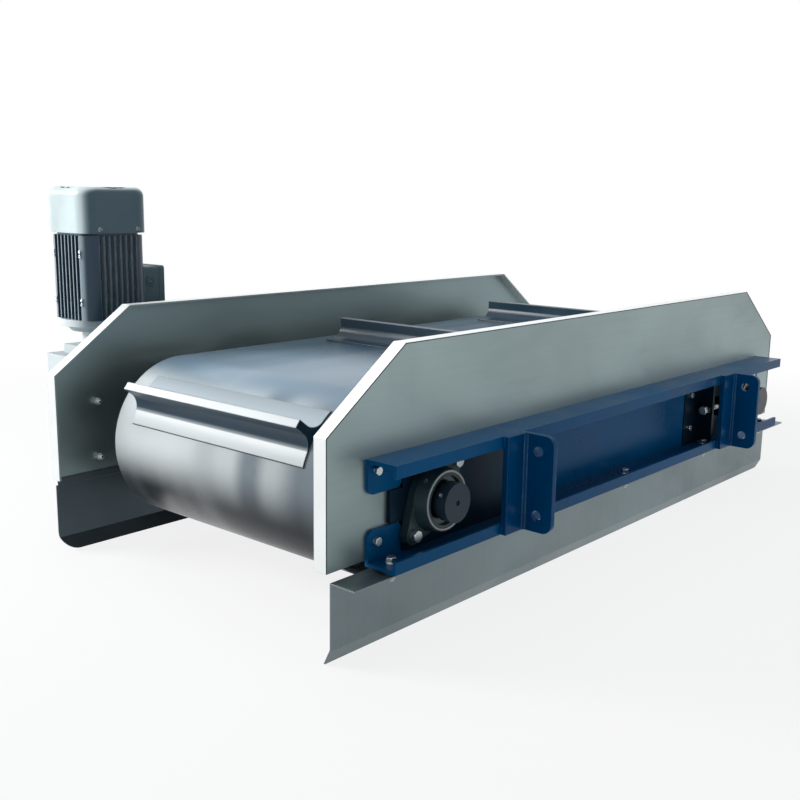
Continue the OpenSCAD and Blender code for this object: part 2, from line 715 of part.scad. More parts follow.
// The locking collar closes the near end of the drive shaft
module locking_collar() {
    color([0.3, 0.34, 0.36]) place() difference() {
        bar_y(drive_x, axis_z, -shaft_end - collar_t, -unit_y - unit_h - collar_gap, collar_d);
        bar_y(drive_x, axis_z, -shaft_end, -unit_y, sleeve_d - 1);
        bar_y(drive_x, axis_z, -shaft_end - collar_t - 1, -unit_y, centre_d);
        translate([drive_x, -unit_y - unit_h - sleeve_reach / 2, axis_z]) rotate([0, -60, 0]) cylinder(d = set_screw_d, h = collar_d);
    }
}
module drive_outer_rings() { outer_rings(drive_x); }
module tail_outer_rings() { outer_rings(tail_x); }
module drive_balls() { balls(drive_x); }
module tail_balls() { balls(tail_x); }
module drive_inner_rings() {
    inner_rings(drive_x);
    locking_collar();
}
module tail_inner_rings() { inner_rings(tail_x); }
module near_drive_housing() { unit_housing(drive_x, -1); }
module far_drive_housing() { unit_housing(drive_x, 1); }
module near_tail_housing() { unit_housing(tail_x, -1); }
module far_tail_housing() { unit_housing(tail_x, 1); }

// Bearing plates lie on the side plates in the channels' windows
window_gap = 2;
window_h = channel_h - 2 * channel_t;
plate_tongue = 28;
tongue_h = slot_h - 2 * window_gap;
module unit_holes(x) {
    for (i = [-1, 1]) translate([x + i * unit_bolt_x, axis_z + i * unit_bolt_z]) circle(d = unit_bolt_d + 1);
    translate([x, axis_z]) circle(d = shaft_hole_d);
}
module drive_bearing_plates() {
    z0 = channel_bottom + channel_t;
    color([0.09, 0.1, 0.11]) place() both_sides() slab(-unit_y, -plate_y) difference() {
        union() {
            translate([drive_window_x + window_gap, z0 + window_gap / 2])
                square([drive_window - 2 * window_gap, window_h - window_gap]);
            translate([drive_window_x - plate_tongue, axis_z - tongue_h / 2])
                square([plate_tongue + window_gap + small, tongue_h]);
        }
        unit_holes(drive_x);
    }
}
slide_gap = 0.2;
slide_x = lug_x + lug_t + 6 + take_up;
slide_end = tail_leg_x - window_gap;
slide_lug_x = slide_x + 4;
screw_y = plate_y + screw_out;
lug_out = screw_out + 12;
lug_h = 44;
// The tail bearings' slides, each with a lug that the take-up screw turns in
module tail_slides() {
    z0 = channel_bottom + channel_t;
    color([0.09, 0.1, 0.11]) place() both_sides() {
        slab(-unit_y, -plate_y - slide_gap) difference() {
            union() {
                translate([slide_x, z0 + window_gap / 2]) square([slide_end - slide_x, window_h - window_gap]);
                translate([slide_end - small, axis_z - tongue_h / 2]) square([plate_tongue + small, tongue_h]);
            }
            unit_holes(tail_x);
        }
        difference() {
            translate([slide_lug_x, -plate_y - lug_out, axis_z - lug_h / 2]) cube([lug_t, lug_out - bearing_plate_t + small, lug_h]);
            bar_x(slide_lug_x - 1, slide_lug_x + lug_t + 1, -screw_y, axis_z, screw_tip_d + 2 * run_gap);
        }
    }
}
// Caps over the ends of the tail shaft, their rims seated on the outer rings in the bearing housings
module tail_caps() {
    rim_y = ring_y + insert_w;
    cap_end = unit_y + unit_h + cap_h;
    color([0.08, 0.1, 0.12]) place() both_sides() difference() {
        union() {
            bar_y(tail_x, axis_z, -cap_end, -rim_y, cap_d);
            bar_y(tail_x, axis_z, -rim_y - cap_t, -rim_y, insert_d - 2 * run_gap);
        }
        bar_y(tail_x, axis_z, -cap_end + cap_t, -rim_y + 1, cap_d - 2 * cap_t);
    }
}
// Anchors are bolted to the side plates in front of the slides and hold the take-up screws' nuts
anchor_x = tail_window_x + window_gap;
anchor_bolt_x = anchor_x + 20;
anchor_bolts = [[anchor_bolt_x, axis_z + 38], [anchor_bolt_x, axis_z - 38]];
nut_h = 14;
module take_up_anchors() {
    z0 = channel_bottom + channel_t;
    color([0.1, 0.11, 0.12]) place() both_sides() {
        slab(-unit_y, -plate_y) translate([anchor_x, z0 + window_gap / 2]) square([lug_x + lug_t - anchor_x, window_h - window_gap]);
        difference() {
            union() {
                translate([lug_x, -plate_y - lug_out, z0 + window_gap]) cube([lug_t, lug_out - bearing_plate_t + small, window_h - 2 * window_gap]);
                translate([lug_x - nut_h, -screw_y, axis_z]) rotate([0, 90, 0]) cylinder(d = screw_d * 1.7, h = nut_h + small, $fn = 6);
            }
            bar_x(lug_x - nut_h - 1, lug_x + lug_t + 1, -screw_y, axis_z, screw_d + 2 * run_gap);
        }
    }
}
screw_tip_d = screw_d - 4;
screw_head_h = 10;
// A take-up screw: hexagon head, shank through the anchor's nut, tip in the slide's lug
module take_up_screw(side) {
    head_x = lug_x - nut_h - 2;
    color([0.66, 0.69, 0.72]) place() on_side(side) {
        translate([head_x - screw_head_h, -screw_y, axis_z]) rotate([0, 90, 0]) cylinder(d = screw_d * 1.7, h = screw_head_h, $fn = 6);
        bar_x(head_x - small, slide_lug_x - run_gap, -screw_y, axis_z, screw_d);
        bar_x(slide_lug_x - 1, slide_lug_x + lug_t + 4, -screw_y, axis_z, screw_tip_d);
        bar_x(slide_lug_x + lug_t + run_gap, slide_lug_x + lug_t + 4, -screw_y, axis_z, screw_tip_d + 6);
    }
}
module near_take_up_screw() { take_up_screw(-1); }
module far_take_up_screw() { take_up_screw(1); }

// Bolts and nuts of the frame
module frame_bolts() {
    color([0.68, 0.7, 0.72]) place() {
        both_sides() {
            for (p = leg_bolts) {
                hex_y(p[0], p[1], -web_y, leg_bolt_d * 1.6, 6);
                bar_y(p[0], p[1], -web_y - 1, -plate_y + plate_t + 14, leg_bolt_d);
                mirror([0, 1, 0]) hex_y(p[0], p[1], plate_y - plate_t, leg_bolt_d * 1.6, 7);
            }
            for (p = anchor_bolts) {
                hex_y(p[0], p[1], -unit_y, anchor_bolt_d * 1.6, 6);
            }
            for (x = skirt_bolts) translate([x, -skirt_bolt_y, channel_bottom]) {
                translate([0, 0, channel_t]) cylinder(d = skirt_bolt_d * 2, h = 2);
                translate([0, 0, channel_t + 2]) cylinder(d = skirt_bolt_d * 1.7, h = 8, $fn = 6);
            }
            for (x = skirt_bolts) translate([x, -skirt_bolt_y, skirt_top]) {
                cylinder(d = skirt_bolt_d * 2, h = spacer_h);
                translate([0, 0, -skirt_t - 14]) cylinder(d = skirt_bolt_d, h = channel_t + spacer_h + skirt_t + 15);
                translate([0, 0, -skirt_t - 9]) cylinder(d = skirt_bolt_d * 1.7, h = 9, $fn = 6);
            }
        }
    }
}
anchor_bolt_d = 8;
module unit_screws(x) {
    both_sides() for (i = [-1, 1]) {
        hex_y(x + i * unit_bolt_x, axis_z + i * unit_bolt_z, -unit_y - unit_flange_t, unit_bolt_d * 1.5, 8);
        bar_y(x + i * unit_bolt_x, axis_z + i * unit_bolt_z, -unit_y - unit_flange_t - 1, -unit_y + 7, unit_bolt_d);
    }
}
module unit_bolts() { color([0.7, 0.72, 0.74]) place() unit_screws(drive_x); }
module slide_bolts() { color([0.7, 0.72, 0.74]) place() unit_screws(tail_x); }

// Gear unit: a mounting plate on the far channel's lips, a housing and its cover
gear_x0 = drive_x - gear_len / 2;
inner_face = lip_y + mount_t;
mount_hole_d = unit_boss_d + 30;
module gear_mount() {
    color([0.66, 0.7, 0.72]) place() difference() {
        translate([gear_x0, lip_y, channel_bottom]) cube([gear_len, mount_t, channel_h]);
        bar_y(drive_x, axis_z, lip_y - 1, lip_y + mount_t + 1, mount_hole_d);
    }
}
raised_inset_x = 30;
raised_inset_y = 16;
worm_bearing_d = 35;
worm_bearing_h = 11;
seat_z = 122;
seat_t = worm_bearing_h;
module gear_housing() {
    z0 = gear_bottom;
    color([0.8, 0.83, 0.84]) place() difference() {
        union() {
            difference() {
                translate([gear_x0, inner_face, z0]) cube([gear_len, gear_w - gear_wall, gear_top - z0]);
                translate([gear_x0 + gear_wall, inner_face + gear_wall, z0 + gear_wall])
                    cube([gear_len - 2 * gear_wall, gear_w, gear_top - z0 - 2 * gear_wall]);
            }
            translate([gear_x0 + raised_inset_x, inner_face + raised_inset_y, gear_top - small])
                cube([gear_len - 2 * raised_inset_x, gear_w - 2 * raised_inset_y, adapter_h + small]);
            translate([gear_x0 + small, inner_face + small, seat_z]) cube([worm_x - gear_x0 + worm_bearing_d / 2 + 8, gear_w - gear_wall - 2 * small, seat_t]);
            translate([worm_x, gear_y, z0 + small]) cylinder(d = worm_bearing_d + 16, h = gear_wall + worm_bearing_h);
        }
        bar_y(drive_x, axis_z, inner_face - 1, inner_face + gear_wall + 1, shaft_d + 2 * seal_gap);
        translate([worm_x, gear_y, z0 + gear_wall]) cylinder(d = worm_bearing_d, h = worm_bearing_h + 1);
        translate([worm_x, gear_y, seat_z - 1]) cylinder(d = worm_bearing_d, h = seat_t + 2);
        translate([drive_x, gear_y, gear_top - gear_wall - 1]) cylinder(d = rotor_shaft_d + 4, h = gear_wall + adapter_h + 2);
    }
}
module gear_cover() {
    bolt_in = 14;
    color([0.78, 0.81, 0.82]) place() {
        translate([gear_x0, gear_face - gear_wall, gear_bottom]) cube([gear_len, gear_wall, gear_top - gear_bottom]);
        for (x = [gear_x0 + bolt_in, gear_x0 + gear_len - bolt_in], z = [gear_bottom + bolt_in, gear_top - bolt_in])
            bar_y(x, z, gear_face - 1, gear_face + 5, 13);
        bar_y(drive_x, axis_z, gear_face - 1, gear_face + 6, 96);
    }
}
// Bearings of the worm shaft and of the motor shaft
module plain_ring(x, y, z, d_out, d_in, h) {
    translate([x, y, z]) difference() {
        cylinder(d = d_out, h = h);
        translate([0, 0, -1]) cylinder(d = d_in, h = h + 2);
    }
}
worm_shaft_d = 17;
module gear_bearings() {
    color([0.76, 0.78, 0.8]) place() {
        for (z = [gear_bottom + gear_wall, seat_z])
            plain_ring(worm_x, gear_y, z, worm_bearing_d, worm_shaft_d + 2 * run_gap, worm_bearing_h);
        plain_ring(drive_x, gear_y, adapter_seat_z, motor_bearing_d, rotor_shaft_d + 2 * run_gap, motor_bearing_h);
        plain_ring(drive_x, gear_y, shield_seat_z, motor_bearing_d, rotor_shaft_d + 2 * run_gap, motor_bearing_h);
    }
}
motor_bearing_d = 52;
motor_bearing_h = 15;
adapter_seat_z = motor_z - motor_bearing_h;
shield_seat_z = motor_z + motor_h - 10;

// Worm gearing: a twisted rack profile meshes with a wheel of slanted teeth
tooth_thin = 0.8;
module worm_section(turns) {
    addendum = worm_module;
    dedendum = 1.2 * worm_module;
    root = worm_r - dedendum;
    tip = worm_r + addendum;
    half_tip = 360 / worm_starts * 0.5 * 0.34 / 2 * tooth_thin;
    half_root = 360 / worm_starts * 0.5 * 1.35 / 2 * tooth_thin;
    circle(r = root, $fn = 24);
    for (i = [0:worm_starts - 1]) rotate(i * 360 / worm_starts) polygon(concat(
        [[0, 0]],
        [for (a = [-half_root, -half_tip, 0, half_tip, half_root]) let (r = abs(a) > half_tip + small ? root - small : tip) [r * cos(a), r * sin(a)]]));
}
module worm_shaft() {
    gear_z = spur_z;
    bottom = gear_bottom + gear_wall;
    color([0.62, 0.64, 0.66]) place() translate([worm_x, gear_y, 0]) {
        translate([0, 0, bottom + 1]) cylinder(d = worm_shaft_d, h = gear_z + spur_w + 3 - bottom - 1);
        translate([0, 0, axis_z - worm_len / 2]) rotate(worm_turn)
            linear_extrude(worm_len, twist = -360 * worm_len / worm_lead, slices = 40) worm_section();
        translate([0, 0, gear_z]) linear_extrude(spur_w) spur_outline(spur_teeth, 0);
    }
}
module worm_wheel() {
    lead_angle = atan(worm_lead / (2 * PI * worm_r));
    turn = wheel_w * tan(lead_angle) / wheel_pitch_r * 180 / PI;
    color([0.72, 0.55, 0.3]) place() translate([drive_x, gear_y, axis_z]) rotate([-90, 0, 0]) difference() {
        union() {
            rotate(-turn / 2) translate([0, 0, -wheel_w / 2]) linear_extrude(wheel_w, twist = -turn, slices = 6) wheel_outline();
            translate([0, 0, -wheel_w / 2 - 12]) cylinder(d = 62, h = wheel_w + 24);
        }
        translate([0, 0, -wheel_w / 2 - 13]) cylinder(d = shaft_d, h = wheel_w + 26);
    }
}
module wheel_outline() {
    root = wheel_pitch_r - 1.25 * worm_module;
    tip = wheel_pitch_r + worm_module;
    step = 360 / wheel_teeth;
    circle(r = root, $fn = 60);
    for (i = [0:wheel_teeth - 1]) rotate(i * step + 180) polygon([
        [0, 0], [root * cos(step * 0.3), -root * sin(step * 0.3)], [tip * cos(step * 0.1), -tip * sin(step * 0.1)],
        [tip * cos(step * 0.1), tip * sin(step * 0.1)], [root * cos(step * 0.3), root * sin(step * 0.3)]]);
}
// Turns the worm so that a gap of its thread faces the wheel's tooth
worm_turn = 180 / worm_starts - 180 * worm_len / worm_lead;

// Spur pair between the motor shaft and the worm shaft
spur_z = 172;
module spur_outline(teeth, turn) {
    pitch_r = spur_module * teeth / 2;
    root = pitch_r - 1.25 * spur_module;
    tip = pitch_r + spur_module;
    step = 360 / teeth;
    circle(r = root, $fn = 60);
    for (i = [0:teeth - 1]) rotate(i * step + turn) polygon([
        [root * 0.8, -1], [root, -step_arc(root, step, 0.3)], [pitch_r, -step_arc(pitch_r, step, 0.22)],
        [tip, -step_arc(tip, step, 0.11)], [tip, step_arc(tip, step, 0.11)],
        [pitch_r, step_arc(pitch_r, step, 0.22)], [root, step_arc(root, step, 0.3)], [root * 0.8, 1]]);
}
function step_arc(r, step, share) = r * sin(step * share);

// Motor: adapter, finned frame, stator core, rotor, end shield, fan and fan cover
neck_d = 80;
module on_motor(z) {
    translate([drive_x, gear_y, z]) children();
}
dome_top_d = 146;
dome_bottom_d = 124;
module motor_adapter() {
    color([0.78, 0.82, 0.83]) place() difference() {
        on_motor(gear_top + adapter_h) {
            cylinder(d = neck_d, h = neck_h + small);
            translate([0, 0, neck_h]) cylinder(d1 = dome_bottom_d, d2 = dome_top_d, h = dome_h + small);
            translate([0, 0, neck_h + dome_h]) cylinder(d = adapter_flange_d, h = adapter_flange_t);
        }
        on_motor(gear_top - 1) cylinder(d = rotor_shaft_d + 4, h = motor_h);
        on_motor(adapter_seat_z) cylinder(d = motor_bearing_d, h = motor_bearing_h + 1);
    }
}
module oil_plug() {
    color([0.12, 0.13, 0.14]) place() translate([gear_x0 + raised_inset_x + 12, inner_face + raised_inset_y + 26, gear_top + adapter_h]) {
        cylinder(d = 12, h = 4);
        translate([0, 0, 4 - small]) cylinder(d = 14, h = 6, $fn = 6);
    }
}
groove_count = floor((motor_w - 2 * pad_w) / fin_pitch);
// The grooves that leave the fins standing on one face of the motor frame
module grooves() {
    for (i = [0:groove_count - 1])
        translate([motor_w / 2 - fin_depth, (i - (groove_count - 1) / 2) * fin_pitch - (fin_pitch - fin_t) / 2])
            square([fin_depth + 1, fin_pitch - fin_t]);
}
module stator_frame() {
    color([0.2, 0.26, 0.32]) place() on_motor(motor_z) difference() {
        union() {
            linear_extrude(motor_h) difference() {
                rounded_square(motor_w, motor_r);
                for (a = [0, 90, 180, 270]) rotate(a) grooves();
            }
            translate([0, -box_w / 2, box_z - motor_z]) cube([motor_w / 2 + box_base, box_w, box_w]);
        }
        translate([0, 0, -1]) cylinder(d = stator_d, h = motor_h + 2);
    }
}
stator_d = 116;
rotor_d = 72;
core_h = 110;
module stator_core() {
    color([0.5, 0.45, 0.4]) place() {
        plain_ring(drive_x, gear_y, motor_z + 28, stator_d, rotor_d + 1, core_h);
        for (z = [motor_z + 12, motor_z + 28 + core_h - small]) plain_ring(drive_x, gear_y, z, stator_d - 14, rotor_d + 12, 16 + small);
    }
}
module rotor() {
    bottom = spur_z - 4;
    top = fan_hub_z + fan_hub_h;
    color([0.6, 0.62, 0.64]) place() {
        on_motor(bottom) cylinder(d = rotor_shaft_d - 6, h = spur_w + 12);
        on_motor(bottom + spur_w + 11) cylinder(d = rotor_shaft_d, h = top - bottom - spur_w - 11);
        on_motor(motor_z + 28) cylinder(d = rotor_d, h = core_h);
        on_motor(spur_z) linear_extrude(spur_w) spur_outline(pinion_teeth, 180 + 180 / pinion_teeth);
    }
}
shield_w = 136;
shield_t = 8;
shield_wall = 4;
lug_w = 18;
lug_pitch = 88;
lug_h_fan = 14;
// The end shield closes the motor frame and carries the fan cover on its lugs
module end_shield() {
    color([0.2, 0.26, 0.32]) place() difference() {
        union() {
            on_motor(motor_z + motor_h) linear_extrude(shield_t) rounded_square(shield_w, motor_r);
            on_motor(shield_seat_z - shield_wall) cylinder(d = motor_bearing_d + 2 * shield_wall, h = motor_bearing_h + 2 * shield_wall);
            intersection() {
                on_motor(fan_cover_z) cover_form(fan_cover_t + run_gap);
                for (x = [-lug_pitch / 2, lug_pitch / 2], side = [0, 1]) on_motor(motor_z + motor_h) mirror([0, side, 0])
                    translate([x - lug_w / 2, shield_w / 4, 0]) cube([lug_w, fan_cover_w, lug_h_fan]);
            }
        }
        on_motor(shield_seat_z) cylinder(d = motor_bearing_d, h = motor_bearing_h);
        on_motor(shield_seat_z - 2 * shield_wall) cylinder(d = rotor_shaft_d + 4, h = fan_cover_h);
    }
}
fan_hub_d = 46;
fan_hub_h = 28;
fan_hub_z = fan_cover_z + 14;
blade_in = 18;
blade_t = 3;
blade_h = 36;
module fan() {
    color([0.12, 0.13, 0.14]) place() difference() {
        union() {
            on_motor(fan_hub_z) cylinder(d = fan_hub_d, h = fan_hub_h);
            on_motor(fan_hub_z) cylinder(d = fan_d, h = blade_t);
            for (i = [0:blade_count - 1]) on_motor(fan_hub_z + blade_t - 1) rotate(i * 360 / blade_count)
                translate([blade_in, -blade_t / 2, 0]) cube([fan_d / 2 - blade_in - 2, blade_t, blade_h]);
        }
        on_motor(fan_hub_z - 1) cylinder(d = rotor_shaft_d, h = fan_cover_h);
    }
}
// The fan cover's outer form, drawn in by d: two slabs and a rounded corner piece at each corner
module cover_corner(d) {
    r = fan_cover_corner - d;
    h = fan_cover_h - d;
    bend = fan_cover_r - d;
    rotate_extrude() {
        square([r - bend, h]);
        square([r, h - bend]);
        intersection() {
            translate([r - bend, h - bend]) circle(r = bend);
            square([r + 1, h + 1]);
        }
    }
}
module cover_slab(d) {
    half = fan_cover_w / 2 - d;
    h = fan_cover_h - d;
    bend = fan_cover_r - d;
    length = fan_cover_w - 2 * fan_cover_corner;
    translate([0, length / 2, 0]) rotate([90, 0, 0]) linear_extrude(length) {
        translate([-half + bend, 0]) square([2 * half - 2 * bend, h]);
        translate([-half, 0]) square([2 * half, h - bend]);
        for (side = [-1, 1]) translate([side * (half - bend), h - bend]) circle(r = bend);
    }
}
module cover_form(d) {
    middle = fan_cover_w / 2 - fan_cover_corner;
    cover_slab(d);
    rotate(90) cover_slab(d);
    for (x = [-middle, middle], y = [-middle, middle]) translate([x, y, 0]) cover_corner(d);
}
grille_rings = 5;
grille_step = 11;
grille_slot = 7;
grille_in = 9;
spoke_w = 6;
cover_screw_d = 9;
cover_screw_z = 8;
module fan_cover() {
    color([0.72, 0.78, 0.78]) place() {
        difference() {
            on_motor(fan_cover_z) cover_form(0);
            on_motor(fan_cover_z - small) cover_form(fan_cover_t);
            for (i = [1:grille_rings]) on_motor(motor_top - fan_cover_t - 1) difference() {
                cylinder(r = grille_in + grille_slot + i * grille_step, h = fan_cover_t + 2);
                translate([0, 0, -1]) cylinder(r = grille_in + i * grille_step, h = fan_cover_t + 4);
                for (a = [0, 60, 120]) rotate(a) translate([-fan_cover_w / 2, -spoke_w / 2, -1])
                    cube([fan_cover_w, spoke_w, fan_cover_t + 4]);
            }
        }
        for (x = [-lug_pitch / 2, lug_pitch / 2], side = [0, 1]) on_motor(fan_cover_z + cover_screw_z) mirror([0, side, 0])
            translate([x, fan_cover_w / 2 - 1, 0]) rotate([-90, 0, 0]) cylinder(d = cover_screw_d, h = cover_screw_out + 1);
    }
}
box_wall = 3;
entry_x = box_x + 16;
entry_z = box_z + box_w * 0.7;
entry_d = 16;
entry_boss_h = 2;
lid_over = 2;
// A slab along X with rounded edges, as wide as it is high
module box_slab(x, length, w) {
    translate([x, gear_y, box_z + box_w / 2]) rotate([90, 0, 90]) linear_extrude(length) rounded_square(w, box_r);
}
module terminal_box() {
    color([0.24, 0.32, 0.35]) place() difference() {
        union() {
            box_slab(box_x, box_d, box_w);
            box_slab(box_x + box_d - small, lid_t, box_w + lid_over);
            bar_y(entry_x, entry_z, gear_y - box_w / 2 - entry_boss_h, gear_y - box_w / 2 + small, entry_d + 6);
        }
        bar_y(entry_x, entry_z, gear_y - box_w / 2 - entry_boss_h - 1, gear_y - box_w / 2 + box_wall + 1, entry_d);
        box_slab(box_x + box_wall, box_d - box_wall, box_w - 2 * box_wall);
    }
}

near_side_plate();
far_side_plate();
near_channel();
far_channel();
near_front_hanger();
near_rear_hanger();
far_front_hanger();
far_rear_hanger();
near_skirt();
far_skirt();
cross_beams();
magnet_cover();
magnet_wear_plate();
magnet_yoke();
magnet_blocks();
belt();
cleat_1();
cleat_2();
cleat_3();
cleat_4();
cleat_5();
cleat_6();
drive_bearing_plates();
near_drive_housing();
far_drive_housing();
drive_outer_rings();
drive_balls();
drive_inner_rings();
drive_drum();
drive_shaft();
take_up_anchors();
tail_slides();
near_tail_housing();
far_tail_housing();
tail_outer_rings();
tail_balls();
tail_caps();
tail_inner_rings();
tail_drum();
tail_shaft();
near_take_up_screw();
far_take_up_screw();
frame_bolts();
unit_bolts();
slide_bolts();
gear_mount();
gear_housing();
gear_cover();
gear_bearings();
worm_wheel();
worm_shaft();
motor_adapter();
oil_plug();
stator_frame();
stator_core();
rotor();
end_shield();
fan();
fan_cover();
terminal_box();
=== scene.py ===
import bpy, bmesh, json, math, random
from mathutils import Vector, Matrix


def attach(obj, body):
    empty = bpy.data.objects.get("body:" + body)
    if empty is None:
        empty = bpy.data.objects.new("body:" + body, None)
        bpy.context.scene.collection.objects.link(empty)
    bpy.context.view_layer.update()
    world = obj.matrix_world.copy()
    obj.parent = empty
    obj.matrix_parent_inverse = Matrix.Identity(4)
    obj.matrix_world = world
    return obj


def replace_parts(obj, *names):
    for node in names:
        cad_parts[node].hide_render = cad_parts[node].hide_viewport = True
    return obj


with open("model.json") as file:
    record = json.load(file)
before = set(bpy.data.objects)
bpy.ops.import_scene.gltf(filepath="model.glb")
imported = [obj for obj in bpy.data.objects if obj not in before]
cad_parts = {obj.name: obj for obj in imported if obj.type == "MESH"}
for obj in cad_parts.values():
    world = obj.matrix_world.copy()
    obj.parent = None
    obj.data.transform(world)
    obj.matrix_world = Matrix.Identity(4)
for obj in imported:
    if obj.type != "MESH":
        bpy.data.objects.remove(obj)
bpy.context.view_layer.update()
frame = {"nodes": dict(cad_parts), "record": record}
nodes = frame["nodes"]
random.seed(7)

# Sizes and places are in the mm of the part's source, unless a comment says metres: X runs from the drive
# end, Y from the middle of the belt and Z from the plates' lower edges. This point lies at the frame's origin
OX, OY, OZ = 800.0, 54.5, -146.0
# Side plates: length, thickness and outer face
PLATE_LEN, PLATE_T, PLATE_Y = 1600.0, 4.0, 372.0
# Axes of the drums, and middle of the gear unit
AXIS_Z, DRIVE_X, TAIL_X, GEAR_Y = 75.0, 221.0, 1379.0, 526.0
# Outer faces of channel webs, channel lips and bearing plates
WEB_Y, LIP_Y, UNIT_Y = 378.0, 434.0, 380.0
# How far the bearing units' flanges and housings stand out, and half their bolts' distance along X and Z
UNIT_FLANGE, UNIT_REACH, UNIT_BOLT = 15.0, 38.8, 50.91
# Inner and outer radius of the belt round the drums, and its two edges
BELT_IN, BELT_OUT, BELT_NEAR, BELT_FAR = 147.0, 155.0, -284.0, 257.5
# Number of cleats, the first one's place along the loop, half width of a foot, and the cleats' two ends
CLEATS, CLEAT_START, FOOT_HALF, CLEAT_NEAR, CLEAT_FAR = 6, 406.0, 51.0, -249.0, 207.0
# Places of the bolts at the channels' ends, of the take-up anchors' screws and of the skirts' bolts
LEG_BOLT_X, LEG_BOLT_Z = (100, 1500), (29, 140)
ANCHOR_BOLT_X, ANCHOR_BOLT_DZ = 1140, 38
SKIRT_BOLT_X, SKIRT_BOLT_Y = (110, 466, 822, 1178, 1490), PLATE_Y + 29
# Heights of a skirt bolt's washer, head, lower washer, nut and threaded end
SKIRT_BOLT_LEVELS = (-3, -1, -9, -18, -27)
# Hexagons with a washer: width across flats, height, thickness of the washer
UNIT_HEAD, LEG_HEAD, LEG_NUT = (18, 8, 2), (12.8, 6, 2), (12.8, 7, 2)
# Hexagons without one: width across flats, height
SKIRT_HEAD, SKIRT_NUT, SCREW_HEAD = (14.7, 8), (14.7, 9), (19.1, 10)
# Line of the take-up screws, where their heads sit and where the collars on their tips start
SCREW_Y, SCREW_HEAD_X, SCREW_TIP_X = 400.0, 1176, 1248.2

TO_NEAR, TO_FAR = Vector((0, -1, 0)), Vector((0, 1, 0))
TO_FRONT, TO_REAR = Vector((-1, 0, 0)), Vector((1, 0, 0))
UP, DOWN = Vector((0, 0, 1)), Vector((0, 0, -1))


def P(x, y, z):
    """A place in the source, in the frame's metres."""
    return Vector(((x - OX) / 1000, (y - OY) / 1000, (z - OZ) / 1000))


# Camera, fitted to the corners of the side plates and the near channel in the photo
CAMERA_PLACE = (-1010.86, -1392.97, 548.22)
# Yaw, pitch and roll in degrees
CAMERA_TURN = (-48.894, -11.294, 0.782)
CAMERA_LENS, SENSOR_WIDTH = 46.654, 36.0


def add_camera():
    yaw, pitch, roll = (math.radians(v) for v in CAMERA_TURN)
    back = Vector((math.sin(yaw) * math.cos(pitch), -math.cos(yaw) * math.cos(pitch), math.sin(-pitch)))
    right = (-back).cross(UP).normalized()
    up = right.cross(-back)
    r = right * math.cos(roll) + up * math.sin(roll)
    u = up * math.cos(roll) - right * math.sin(roll)
    place = P(*CAMERA_PLACE)
    data = bpy.data.cameras.new("camera")
    data.lens, data.sensor_width = CAMERA_LENS, SENSOR_WIDTH
    data.clip_start, data.clip_end = 0.05, 60
    cam = bpy.data.objects.new("camera", data)
    bpy.context.collection.objects.link(cam)
    cam.matrix_world = Matrix((*((r[i], u[i], back[i], place[i]) for i in range(3)), (0, 0, 0, 1)))
    bpy.context.scene.camera = cam


